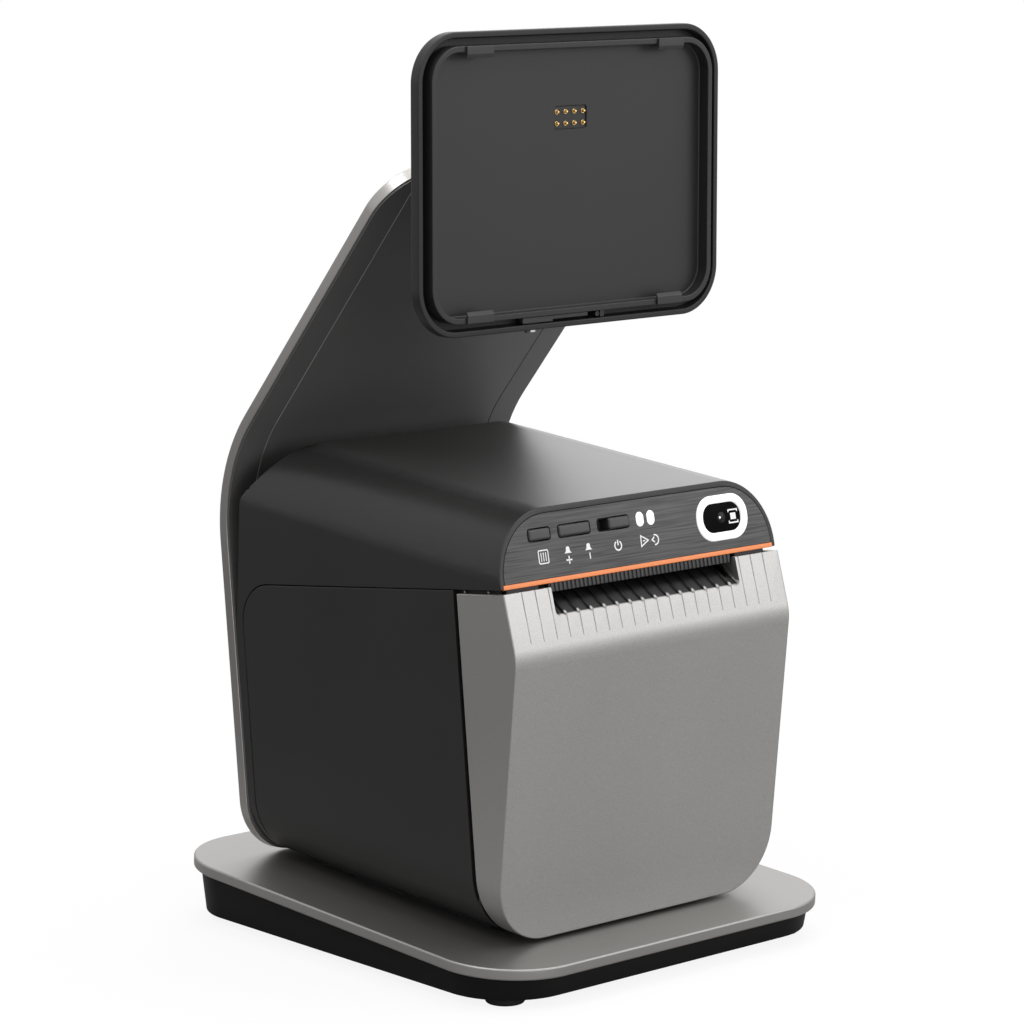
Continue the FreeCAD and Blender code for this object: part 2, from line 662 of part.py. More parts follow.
def build_base():
    plate = rounded_prism(PLATE_HALF_WIDTH, PLATE_HALF_DEPTH, PLATE_CORNER, -PLATE_THICKNESS, 0)
    top_edges = [e for e in plate.Edges if all(abs(v.Z) < TINY for v in e.Vertexes)]
    plate = plate.makeChamfer(PLATE_EDGE_CHAMFER, top_edges)
    base_screws = [base_screw(x, y) for x, y in base_screw_points()]
    bracket_screws = [bracket_screw(sign) for sign in (-1, 1)]
    add("base_plate", plate.cut([tongue(RUNNING_CLEARANCE)] + base_screws + bracket_screws))
    add("base_screws", Part.makeCompound(base_screws))

    full_depth = SKIRT_DEPTH_AT_MIDDLE + PLATE_HALF_DEPTH * math.tan(TILT)
    below = box(-FAR, FAR, -FAR, FAR, -FAR, FOOT_DROP)
    below_floor = box(-FAR, FAR, -FAR, FAR, -FAR, FOOT_DROP + SKIRT_FLOOR)
    cavity = skirt_loft(SKIRT_WALL, full_depth).cut(below_floor)
    skirt = skirt_loft(0, full_depth).cut(below).cut(cavity)
    bosses = [placed(rod_w(x, y, -full_depth, 0, BASE_BOSS_RADIUS), DECK) for x, y in base_screw_points()]
    skirt = skirt.fuse([boss.common(cavity) for boss in bosses])
    recesses = []
    for x, y in base_screw_points():
        deep = rod_w(x, y, -FAR, on_skirt_bottom(y) + BASE_SCREW_RECESS, BASE_SCREW_HEAD_RADIUS)
        recesses.append(placed(base_screw(x, y).fuse(deep), DECK))
    feet = []
    for sign in (-1, 1):
        for y in (FOOT_FRONT_Y, FOOT_REAR_Y):
            feet.append(rod_w(sign * FOOT_X, y, 0, FOOT_DROP + FOOT_RECESS, FOOT_RADIUS))
    floor = FOOT_DROP + SKIRT_FLOOR
    socket_floor = floor + BOARD_THICKNESS
    lan = socket_block(LAN_X, LAN_WIDTH, LAN_HEIGHT, socket_floor)
    usb = socket_block(USB_X, USB_WIDTH, USB_HEIGHT, socket_floor)
    inlet = socket_block(DC_X, DC_WIDTH, DC_HEIGHT, socket_floor)
    windows = [socket_block(x, width + 2 * SOCKET_CLEARANCE, height + SOCKET_CLEARANCE, socket_floor)
               for x, width, height in ((LAN_X, LAN_WIDTH, LAN_HEIGHT), (USB_X, USB_WIDTH, USB_HEIGHT),
                                        (DC_X, DC_WIDTH, DC_HEIGHT))]
    windows = [moved(window, V(0, SOCKET_WINDOW_REACH, 0)) for window in windows]
    add("base_skirt", skirt.cut(recesses + feet + windows).removeSplitter(), TABLE)
    add("base_feet", Part.makeCompound(feet), TABLE)
    ballast = box(-BALLAST_HALF_WIDTH, BALLAST_HALF_WIDTH, BALLAST_FRONT_Y, BALLAST_REAR_Y,
                  floor, floor + BALLAST_THICKNESS)
    add("base_ballast", ballast, TABLE)
    board = box(-IO_BOARD_HALF_WIDTH, IO_BOARD_HALF_WIDTH, IO_BOARD_FRONT_Y, IO_BOARD_REAR_Y,
                floor, socket_floor)
    add("io_board", board, TABLE)
    build_sockets(lan, usb, inlet, socket_floor)

    low_y = tongue_front(-TONGUE_DROP)
    inner_z = -PLATE_THICKNESS - BRACKET_THICKNESS
    inner_y = tongue_front(inner_z) - BRACKET_THICKNESS
    outline = [(tongue_front(-PLATE_THICKNESS), -PLATE_THICKNESS), (low_y, -TONGUE_DROP),
               (low_y - BRACKET_THICKNESS, -TONGUE_DROP), (inner_y, inner_z),
               (bracket_front(), inner_z), (bracket_front(), -PLATE_THICKNESS)]
    bracket = side_prism(outline, -BRACKET_HALF_WIDTH, BRACKET_HALF_WIDTH)
    add("arm_bracket", bracket.cut(bracket_screws))
    add("bracket_screws", Part.makeCompound(bracket_screws))


def socket_block(x, width, height, z0):
    return box(x - width / 2, x + width / 2, SOCKET_FRONT_Y, SOCKET_REAR_Y, z0, z0 + height)


def build_sockets(lan, usb, inlet, z0):
    mouth_low = z0 + (LAN_HEIGHT - LAN_MOUTH_HEIGHT) / 2
    lan_mouth = box(LAN_X - LAN_MOUTH_WIDTH / 2, LAN_X + LAN_MOUTH_WIDTH / 2,
                    SOCKET_REAR_Y - LAN_MOUTH_DEPTH, SOCKET_REAR_Y, mouth_low, mouth_low + LAN_MOUTH_HEIGHT)
    add("lan_socket", lan.cut(lan_mouth), TABLE)
    usb_half = USB_WIDTH / 2 - USB_SHEET
    usb_mouth = box(USB_X - usb_half, USB_X + usb_half, SOCKET_REAR_Y - USB_MOUTH_DEPTH, SOCKET_REAR_Y,
                    z0 + USB_SHEET, z0 + USB_HEIGHT - USB_SHEET)
    tongue_low = z0 + (USB_HEIGHT - USB_TONGUE_HEIGHT) / 2
    usb_tongue = box(USB_X - USB_TONGUE_WIDTH / 2, USB_X + USB_TONGUE_WIDTH / 2,
                     SOCKET_REAR_Y - USB_MOUTH_DEPTH, SOCKET_REAR_Y - SOCKET_TONGUE_SETBACK,
                     tongue_low, tongue_low + USB_TONGUE_HEIGHT)
    add("usb_socket", usb.cut(usb_mouth).fuse(usb_tongue), TABLE)
    middle = V(DC_X, SOCKET_REAR_Y, z0 + DC_HEIGHT / 2)
    bore = Part.makeCylinder(DC_BORE_RADIUS, DC_BORE_DEPTH, middle, V(0, -1, 0))
    pin_end = middle - V(0, SOCKET_TONGUE_SETBACK, 0)
    pin = Part.makeCylinder(DC_PIN_RADIUS, DC_BORE_DEPTH - SOCKET_TONGUE_SETBACK, pin_end, V(0, -1, 0))
    add("dc_inlet", inlet.cut(bore).fuse(pin), TABLE)


# Stand arm
def body_screw_points():
    return [(sign * BODY_SCREW_X, up) for sign in (-1, 1) for up in (BODY_SCREW_LOW, BODY_SCREW_HIGH)]


def body_screw(x, up):
    tip = SKIN_THICKNESS + REAR_WALL + BODY_BOSS_LENGTH - SCREW_TIP_COVER
    shank = rod_w(x, up, -ARM_THICKNESS, tip, M4_RADIUS)
    head = rod_w(x, up, -ARM_THICKNESS - M4_HEAD_HEIGHT, -ARM_THICKNESS, M4_HEAD_RADIUS)
    return placed(shank.fuse(head).removeSplitter(), ARM_LOW)


def tilt_screws():
    screws = []
    seat = TILT_FOOT + HIGH_OUT * TILT_BASE_THICKNESS
    for x in (-TILT_SCREW_X, TILT_SCREW_X):
        for along in (-TILT_SCREW_SPAN, TILT_SCREW_SPAN):
            point = seat + V(x, 0, 0) + HIGH_UP * along
            shank = Part.makeCylinder(TILT_SCREW_RADIUS, TILT_SCREW_LENGTH, point, -HIGH_OUT)
            head = Part.makeCylinder(TILT_SCREW_HEAD_RADIUS, TILT_SCREW_HEAD_HEIGHT, point, HIGH_OUT)
            screws.append(shank.fuse(head).removeSplitter())
    return screws


def build_arm():
    screws = [body_screw(x, up) for x, up in body_screw_points()]
    bracket_screws = tilt_screws()
    arm = round_ends(arm_band(-ARM_THICKNESS, 0, ARM_HALF_WIDTH), ARM_BOTTOM_CORNER, ARM_TOP_CORNER)
    add("stand_arm", arm.fuse(tongue()).removeSplitter().cut(screws + bracket_screws))
    add("arm_screws", Part.makeCompound(screws))

    skin_half = ARM_HALF_WIDTH - SKIN_INSET
    skin = round_ends(arm_band(0, SKIN_THICKNESS, skin_half, SKIN_INSET, SKIN_INSET),
                      ARM_BOTTOM_CORNER - SKIN_INSET, ARM_TOP_CORNER - SKIN_INSET)
    opening_half = CABLE_COVER_HALF_WIDTH + CABLE_COVER_GAP
    opening_top = CABLE_COVER_TOP_MARGIN - CABLE_COVER_GAP
    opening = arm_band(-CUT_MARGIN, SKIN_THICKNESS + CUT_MARGIN, opening_half, -CUT_MARGIN, opening_top)
    add("arm_skin", skin.cut([opening] + screws + bracket_screws))
    cable_cover = arm_band(0, SKIN_THICKNESS, CABLE_COVER_HALF_WIDTH, SKIN_INSET, CABLE_COVER_TOP_MARGIN)
    add("arm_cable_cover", cable_cover.common(skin).cut(screws + bracket_screws))


# Printer body
def tube(inset):
    """Rounded tube along Y whose top rises slightly toward the rear."""
    half = BODY_HALF_WIDTH - inset
    upright = FreeCAD.Rotation(X_AXIS, 90)
    bottom = BODY_BOTTOM_Z + inset
    low_face = Part.Face(rounded_wire(half, FAR / 2, BODY_BOTTOM_CORNER - inset))
    low_face.Placement = FreeCAD.Placement(V(0, -FAR / 2, bottom + FAR / 2), upright)
    top_at_fascia = FASCIA_FOOT_Z + FASCIA_HEIGHT * math.cos(math.radians(FASCIA_LEAN))
    fascia_top_y = FASCIA_FOOT_Y + FASCIA_HEIGHT * math.sin(math.radians(FASCIA_LEAN))
    top_at_start = top_at_fascia - BODY_TOP_RISE * (fascia_top_y + FAR / 2) - inset
    high_face = Part.Face(rounded_wire(half, FAR / 2, BODY_TOP_CORNER - inset))
    high_face.Placement = FreeCAD.Placement(V(0, -FAR / 2, top_at_start - FAR / 2), upright)
    low = low_face.extrude(V(0, FAR, 0))
    high = high_face.extrude(V(0, FAR, FAR * BODY_TOP_RISE))
    return low.common(high)


def side_outline(front_wall, fascia_wall):
    """Side view of the body's front, pushed back by the given walls, and open toward the rear."""
    high_z = FASCIA_FOOT_Z + 2 * FASCIA_HEIGHT
    fascia_back = fascia_wall / math.cos(math.radians(FASCIA_LEAN))
    fascia_slope = math.tan(math.radians(FASCIA_LEAN))
    points = [(front_face(LOW_CUT_Z) + front_wall, LOW_CUT_Z), (front_face(KINK_Z) + front_wall, KINK_Z),
              (CHAMFER_TOP_Y + front_wall, CHAMFER_TOP_Z), (FASCIA_FOOT_Y + fascia_back, FASCIA_FOOT_Z),
              (FASCIA_FOOT_Y + fascia_back + fascia_slope * (high_z - FASCIA_FOOT_Z), high_z),
              (FAR, high_z), (FAR, LOW_CUT_Z)]
    prism = side_prism(points, -FAR / 2, FAR / 2)
    kink = [e for e in prism.Edges if e.Length > FAR / 2 and abs(e.CenterOfMass.z - KINK_Z) < TINY]
    return prism.makeFillet(KINK_RADIUS, kink)


def seam_region(front_line, top_shift, rear_shift, corner):
    """Everything below the top seam and ahead of the rear seam, with its upper rear corner rounded."""
    slope_sum = 1 + TOP_SEAM_SLOPE * REAR_SEAM_SLOPE
    meet_z = (TOP_SEAM_Z + top_shift - TOP_SEAM_SLOPE * (REAR_SEAM_Y + rear_shift)) / slope_sum
    meet_y = rear_seam(meet_z) + rear_shift
    front_low, front_high = front_line
    points = [front_low, (rear_seam(LOW_CUT_Z) + rear_shift, LOW_CUT_Z), (meet_y, meet_z), front_high]
    prism = side_prism(points, -FAR / 2, FAR / 2)
    edge = [e for e in prism.Edges if e.Length > FAR / 2 and abs(e.CenterOfMass.y - meet_y) < TINY
            and abs(e.CenterOfMass.z - meet_z) < TINY]
    return prism.makeFillet(corner, edge)


def seam_meet(shift_y, shift_z):
    """Where the side seam, shifted in y, meets the top seam, shifted in z."""
    slope_sum = 1 + TOP_SEAM_SLOPE * SIDE_SEAM_SLOPE
    z = (TOP_SEAM_Z + shift_z - TOP_SEAM_SLOPE * (SIDE_SEAM_Y + shift_y)) / slope_sum
    return side_seam(z) + shift_y, z


def cover_sweep():
    """Solid of revolution that the front cover's lower edges sweep about its hinge."""
    arc_middle = BODY_HALF_WIDTH - BODY_BOTTOM_CORNER
    half = []
    for step in range(SWEEP_STEPS + 1):
        angle = math.radians(90 * step / SWEEP_STEPS)
        x = arc_middle + BODY_BOTTOM_CORNER * math.sin(angle)
        z = BODY_BOTTOM_Z + BODY_BOTTOM_CORNER * (1 - math.cos(angle))
        if z > COVER_HINGE_Z:
            break
        behind = side_seam(z) - COVER_SIDE_GAP / 2 - COVER_HINGE_Y
        ahead = COVER_HINGE_Y - front_face(z)
        reach = math.hypot(max(behind, ahead), z - COVER_HINGE_Z)
        half.append((x, reach + SWEEP_CLEARANCE))
    last_x, last_reach = half[-1]
    outline = [(-last_x, 0)] + [(-x, reach) for x, reach in reversed(half)] + half + [(last_x, 0)]
    points = [V(x, COVER_HINGE_Y, COVER_HINGE_Z + reach) for x, reach in outline]
    face = Part.Face(Part.makePolygon(points + points[:1]))
    return face.revolve(V(0, COVER_HINGE_Y, COVER_HINGE_Z), X_AXIS, 360)


def behind_rear(wall):
    """All that lies behind the rear wall's upright part and its top, which slopes forward as the arm does."""
    stand_y = REAR_STAND_Y - wall
    bend_z = REAR_BEND_Z - wall * math.tan(LEAN_FORWARD / 2)
    high_z = bend_z + FAR / 4
    high_y = stand_y - math.tan(LEAN_FORWARD) * FAR / 4
    points = [(stand_y, LOW_CUT_Z), (stand_y, bend_z), (high_y, high_z), (FAR, high_z), (FAR, LOW_CUT_Z)]
    return side_prism(points, -FAR / 2, FAR / 2)


def body_solids():
    behind_arm = arm_band(-FAR / 2, SKIN_THICKNESS, FAR / 2, -FAR / 4, -FAR / 4)
    behind_wall = arm_band(-FAR / 2, SKIN_THICKNESS + REAR_WALL, FAR / 2, -FAR / 4, -FAR / 4)
    envelope = tube(0).common(side_outline(0, 0)).cut([behind_arm, behind_rear(0)])
    cavity = tube(BODY_WALL).common(side_outline(FRONT_WALL, FASCIA_WALL))
    return envelope, cavity.cut([behind_wall, behind_rear(REAR_WALL)])


def build_body():
    envelope, cavity = body_solids()
    shell = envelope.cut(cavity)
    half_gap = SHELL_SEAM_GAP / 2
    side_gap = COVER_SIDE_GAP / 2
    housing_front = ((side_seam(LOW_CUT_Z) + side_gap, LOW_CUT_Z), seam_meet(side_gap, -half_gap))
    housing = shell.common(seam_region(housing_front, -half_gap, -half_gap, REAR_SEAM_CORNER))
    add("lower_housing", housing.cut(cover_sweep()).removeSplitter())

    ahead = ((-FAR / 4, LOW_CUT_Z), (-FAR / 4, top_seam(-FAR / 4) + half_gap))
    upper = shell.cut(seam_region(ahead, half_gap, half_gap, REAR_SEAM_CORNER + SHELL_SEAM_GAP))
    build_upper_cover(upper, envelope)

    rear_line = seam_meet(-side_gap, -COVER_TOP_GAP)
    front_points = [(-FAR / 4, LOW_CUT_Z), (side_seam(LOW_CUT_Z) - side_gap, LOW_CUT_Z), rear_line,
                    (-FAR / 4, top_seam(-FAR / 4) - COVER_TOP_GAP)]
    build_front_cover(shell.common(side_prism(front_points, -FAR / 2, FAR / 2)))
    add("body_pad", box(-PAD_HALF_WIDTH, PAD_HALF_WIDTH, PAD_FRONT_Y, PAD_REAR_Y, 0, BODY_BOTTOM_Z))


def fascia_outline(w0, w1, clearance=0.0):
    """The brushed panel's outline: square at the bottom, rounded at the top."""
    half = BODY_HALF_WIDTH - FASCIA_MARGIN + clearance
    top = FASCIA_HEIGHT - FASCIA_MARGIN + clearance
    tall = rounded_prism(half, FASCIA_HEIGHT, BODY_TOP_CORNER - FASCIA_MARGIN + clearance, w0, w1)
    panel = moved(tall, V(0, top - FASCIA_HEIGHT, 0))
    return panel.cut(box(-FAR, FAR, -FAR, STRIP_HEIGHT - clearance, w0 - CUT_MARGIN, w1 + CUT_MARGIN))


def led_pipe(index, w0, w1):
    x = LED_FIRST_X + index * LED_PITCH
    return rounded_pocket(x, BUTTON_ROW_V, LED_WIDTH, LED_HEIGHT, (LED_WIDTH - LED_END_FLAT) / 2, w0, w1)


def seam_lips():
    """Tongues inside the walls that stand behind the top seam and the gap over the front cover."""
    outer = BODY_HALF_WIDTH - BODY_WALL - LIP_GAP
    inner = outer - LIP_THICKNESS
    front_y = FASCIA_FOOT_Y + FASCIA_WALL
    low = -LIP_DROP
    root_low = SHELL_SEAM_GAP / 2 + LIP_ROOT / 2
    root_high = root_low + LIP_ROOT

    def band(z0, z1, x0, x1):
        front_z = top_seam(front_y)
        rear_z = top_seam(LIP_REAR_Y)
        corners = [(front_y, front_z + z0), (LIP_REAR_Y, rear_z + z0),
                   (LIP_REAR_Y, rear_z + z1), (front_y, front_z + z1)]
        return side_prism(corners, x0, x1)

    root = band(root_low, root_high, inner, outer + LIP_GAP + BODY_WALL / 2)
    side = band(low, root_high, inner, outer).fuse(root)
    front = placed(box(LIP_FRONT_X, inner, low, LIP_ROOT, -FASCIA_WALL, -FASCIA_WALL + LIP_THICKNESS), FASCIA)
    tongue_right = side.fuse(front)
    return [tongue_right, mirrored(tongue_right)]


def cover_catches():
    outer = BODY_HALF_WIDTH - BODY_WALL - LIP_GAP
    studs = []
    for y in (CATCH_FRONT_Y, CATCH_REAR_Y):
        stud = rod_x(outer, outer + CATCH_LENGTH, y, top_seam(y) - CATCH_DROP, CATCH_RADIUS)
        studs += [stud, mirrored(stud)]
    return Part.makeCompound(studs)


def build_upper_cover(upper, envelope):
    deep = -FASCIA_WALL - CUT_MARGIN
    buttons = ((FEED_X, FEED_WIDTH), (ROCKER_X, ROCKER_WIDTH), (SWITCH_SLOT_X, SWITCH_SLOT_WIDTH))
    openings = [rounded_pocket(x, BUTTON_ROW_V, width, BUTTON_HEIGHT, BUTTON_CORNER, deep, CUT_MARGIN)
                for x, width in buttons]
    openings += [led_pipe(index, deep, CUT_MARGIN) for index in (0, 1)]
    openings.append(ring_block(deep, CUT_MARGIN))
    strip = box(-STRIP_HALF_WIDTH, STRIP_HALF_WIDTH, 0, STRIP_HEIGHT, -STRIP_THICKNESS, 0)
    cuts = [placed(cut, FASCIA) for cut in openings + [strip, fascia_outline(-FASCIA_THICKNESS, CUT_MARGIN)]]
    roof_posts = [rod_w(sign * FRAME_POST_X, FRAME_POST_Y, FRAME_HIGH_Z + FRAME_SHEET, FAR, FRAME_POST_RADIUS)
                  for sign in (-1, 1)]
    post_top = -FASCIA_THICKNESS - CONTROL_POST_COVER
    control_posts = [placed(rod_w(x, CONTROL_POST_V, -CONTROL_BOARD_W, post_top, CONTROL_POST_RADIUS), FASCIA)
                     for x in (CONTROL_POST_LEFT_X, CONTROL_POST_RIGHT_X)]
    boss_ends = (SKIN_THICKNESS, SKIN_THICKNESS + REAR_WALL + BODY_BOSS_LENGTH)
    rear_bosses = [placed(rod_w(x, up, *boss_ends, BODY_BOSS_RADIUS), ARM_LOW)
                   for x, up in body_screw_points()]
    posts = [post.common(envelope) for post in roof_posts + control_posts] + rear_bosses + seam_lips()
    screws = [body_screw(x, up) for x, up in body_screw_points()]
    add("upper_cover", upper.fuse(posts).cut(cuts + screws).removeSplitter())

    panel = fascia_outline(-FASCIA_THICKNESS, 0, -RUNNING_CLEARANCE)
    add("fascia_panel", placed(panel.cut(openings), FASCIA))
    add("accent_strip", placed(strip, FASCIA))
    add("cover_catches", cover_catches())
    build_controls()
    build_scanner()


def button_body(x, width, proud):
    """Cap through the fascia with a retaining flange behind the wall."""
    inner_width = width - 2 * BUTTON_CLEARANCE
    inner_height = BUTTON_HEIGHT - 2 * BUTTON_CLEARANCE
    flange_top = -FASCIA_WALL - FLANGE_GAP
    cap = rounded_pocket(x, BUTTON_ROW_V, inner_width, inner_height, BUTTON_CORNER - BUTTON_CLEARANCE,
                         flange_top, proud)
    flange = rounded_pocket(x, BUTTON_ROW_V, inner_width + 2 * FLANGE_LIP, inner_height + 2 * FLANGE_LIP,
                            BUTTON_CORNER, flange_top - FLANGE_THICKNESS, flange_top)
    return cap.fuse(flange).removeSplitter()


def tact_switch(x):
    face = -CONTROL_BOARD_W + TACT_DEPTH
    half = TACT_HEIGHT / 2
    case = box(x - TACT_WIDTH / 2, x + TACT_WIDTH / 2, BUTTON_ROW_V - half, BUTTON_ROW_V + half,
               -CONTROL_BOARD_W, face)
    plunger = rod_w(x, BUTTON_ROW_V, face, face + TACT_PLUNGER_LENGTH, TACT_PLUNGER_RADIUS)
    return case.fuse(plunger)


def build_controls():
    add("feed_button", placed(button_body(FEED_X, FEED_WIDTH, BUTTON_PROUD), FASCIA))
    add("volume_rocker", placed(button_body(ROCKER_X, ROCKER_WIDTH, BUTTON_PROUD), FASCIA))
    slider_x = SWITCH_SLOT_X + (SWITCH_SLOT_WIDTH - SLIDER_WIDTH) / 2
    add("power_slider", placed(button_body(slider_x, SLIDER_WIDTH, SLIDER_PROUD), FASCIA))
    pipes = [led_pipe(index, -LED_DEPTH, 0) for index in (0, 1)]
    add("led_light_pipes", placed(Part.makeCompound(pipes), FASCIA))
    board = box(CONTROL_BOARD_LEFT_X, CONTROL_BOARD_RIGHT_X, CONTROL_BOARD_LOW_V, CONTROL_BOARD_HIGH_V,
                -CONTROL_BOARD_W - BOARD_THICKNESS, -CONTROL_BOARD_W)
    add("control_board", placed(board, FASCIA))
    places = (FEED_X, ROCKER_X - ROCKER_TACT_OFFSET, ROCKER_X + ROCKER_TACT_OFFSET)
    add("tact_switches", placed(Part.makeCompound([tact_switch(x) for x in places]), FASCIA))


def ring_block(w0, w1):
    return rounded_pocket(SCANNER_X, SCANNER_V, RING_WIDTH, RING_HEIGHT, RING_CORNER, w0, w1)


def window_block(w0, w1):
    return rounded_pocket(SCANNER_X, SCANNER_V, WINDOW_WIDTH, WINDOW_HEIGHT, WINDOW_CORNER, w0, w1)


def build_scanner():
    ring = ring_block(-FASCIA_WALL, RING_PROUD).cut(window_block(-FASCIA_WALL, RING_PROUD))
    add("scanner_ring", placed(ring, FASCIA))
    add("scanner_window", placed(window_block(-WINDOW_RECESS - WINDOW_THICKNESS, -WINDOW_RECESS), FASCIA))
    half_x = RING_WIDTH / 2 - SCANNER_CASE_SIDE_INSET
    half_v = RING_HEIGHT / 2 - SCANNER_CASE_END_INSET
    case = box(SCANNER_X - half_x, SCANNER_X + half_x, SCANNER_V - half_v, SCANNER_V + half_v,
               -FASCIA_WALL - SCANNER_BODY_DEPTH, -FASCIA_WALL)
    barrel = rod_w(SCANNER_X, SCANNER_V, -FASCIA_WALL, -FASCIA_WALL + LENS_LENGTH, LENS_RADIUS)
    add("scanner_module", placed(case.fuse(barrel), FASCIA))


# Opening front cover
def hinge_bar(points, x0, thickness, radius):
    boss = rod_x(x0, x0 + thickness, COVER_HINGE_Y, COVER_HINGE_Z, radius)
    return side_prism(points, x0, x0 + thickness).fuse(boss)


def build_front_cover(cover):
    slot_depth = V(0, FAR, 0)
    face = Part.Face(rounded_wire(SLOT_HALF_WIDTH, FAR / 8, SLOT_CORNER))
    face.Placement = FreeCAD.Placement(V(0, -FAR / 4, SLOT_LIP_Z + FAR / 8), FreeCAD.Rotation(X_AXIS, 90))
    cover = cover.cut(face.extrude(slot_depth))

    lip_y = chamfer_face(SLOT_LIP_Z)
    ramp_rear_z = SLOT_LIP_Z + RAMP_RISE * (RAMP_REAR_Y - lip_y)
    wall_y = lip_y + FRONT_WALL / 2
    side_half = SLOT_HALF_WIDTH + SLOT_SIDE_THICKNESS
    under_lip_z = SLOT_LIP_Z - RAMP_THICKNESS
    under_rear = (RAMP_REAR_Y, ramp_rear_z - RAMP_THICKNESS)
    ramp_outline = [(lip_y, SLOT_LIP_Z), (RAMP_REAR_Y, ramp_rear_z), under_rear, (wall_y, under_lip_z),
                    (lip_y + RAMP_TOE, under_lip_z)]
    ramp = side_prism(ramp_outline, -side_half, side_half)
    high_wall_y = chamfer_face(SLOT_SIDE_TOP_Z) + FRONT_WALL / 2
    cheek_outline = [(wall_y, under_lip_z), under_rear, (RAMP_REAR_Y, SLOT_SIDE_TOP_Z),
                     (high_wall_y, SLOT_SIDE_TOP_Z)]
    cheek = side_prism(cheek_outline, SLOT_HALF_WIDTH, side_half)
    parts = [ramp, cheek, mirrored(cheek)]
    ridge_outline = [(lip_y, SLOT_LIP_Z), (RAMP_REAR_Y, ramp_rear_z - RIDGE_ROOT),
                     (RAMP_REAR_Y, ramp_rear_z + RIDGE_HEIGHT),
                     (lip_y + RIDGE_BEVEL, SLOT_LIP_Z + RIDGE_HEIGHT)]
    for index in range(RIDGE_COUNT):
        x = (index - (RIDGE_COUNT - 1) / 2) * RIDGE_PITCH
        parts.append(side_prism(ridge_outline, x - RIDGE_WIDTH / 2, x + RIDGE_WIDTH / 2))

    ear_x = COVER_LUG_X + COVER_LUG_THICKNESS + COVER_EAR_GAP
    in_wall = front_face(COVER_HINGE_Z) + FRONT_WALL / 2
    ear_low = COVER_HINGE_Z - COVER_EAR_RADIUS
    ear_high = COVER_HINGE_Z + COVER_EAR_RADIUS
    ear_block = [(in_wall, ear_low), (COVER_HINGE_Y, ear_low), (COVER_HINGE_Y, ear_high), (in_wall, ear_high)]
    ear = hinge_bar(ear_block, ear_x, COVER_EAR_THICKNESS, COVER_EAR_RADIUS)
    pin = rod_x(COVER_LUG_X, ear_x + COVER_EAR_THICKNESS, COVER_HINGE_Y, COVER_HINGE_Z, COVER_PIN_RADIUS)
    cover = cover.fuse(parts + [ear, mirrored(ear)]).removeSplitter()
    score_y = chamfer_face(SCORE_LOW_Z)
    score_outline = [(score_y - CUT_MARGIN, SCORE_LOW_Z), (score_y + SCORE_DEPTH, SCORE_LOW_Z),
                     (CHAMFER_TOP_Y + SCORE_DEPTH, CHAMFER_TOP_Z),
                     (CHAMFER_TOP_Y - CUT_MARGIN, CHAMFER_TOP_Z)]
    scores = []
    for index in range(SCORE_COUNT):
        x = (index - (SCORE_COUNT - 1) / 2) * RIDGE_PITCH
        scores.append(side_prism(score_outline, x - SCORE_WIDTH / 2, x + SCORE_WIDTH / 2))
    add("front_cover", cover.cut(scores + [pin, mirrored(pin)]))
    add("cover_hinge_pins", pair(pin))

    lug_bar = [(COVER_HINGE_Y, COVER_HINGE_Z), (COVER_HINGE_Y + LUG_NECK, LUG_BAR_LOW_Z),
               (LUG_FOOT_FRONT_Y, LUG_BAR_LOW_Z),
               (LUG_FOOT_FRONT_Y, BODY_BOTTOM_Z + BODY_WALL), (LUG_FOOT_REAR_Y, BODY_BOTTOM_Z + BODY_WALL),
               (LUG_FOOT_REAR_Y, LUG_BAR_HIGH_Z), (LUG_FOOT_FRONT_Y, LUG_BAR_HIGH_Z),
               (COVER_HINGE_Y, COVER_HINGE_Z + COVER_LUG_RADIUS)]
    lug = hinge_bar(lug_bar, COVER_LUG_X, COVER_LUG_THICKNESS, COVER_LUG_RADIUS)
    floor = BODY_BOTTOM_Z + BODY_WALL
    flange = box(COVER_LUG_X - LUG_FLANGE_WIDTH, COVER_LUG_X, LUG_FOOT_FRONT_Y, LUG_FOOT_REAR_Y,
                 floor, floor + LUG_FLANGE_THICKNESS)
    pin_hole = rod_x(0, FAR, COVER_HINGE_Y, COVER_HINGE_Z, COVER_PIN_RADIUS + RUNNING_CLEARANCE)
    add("cover_hinge_lugs", pair(lug.fuse(flange).removeSplitter().cut(pin_hole)))
    build_platen()


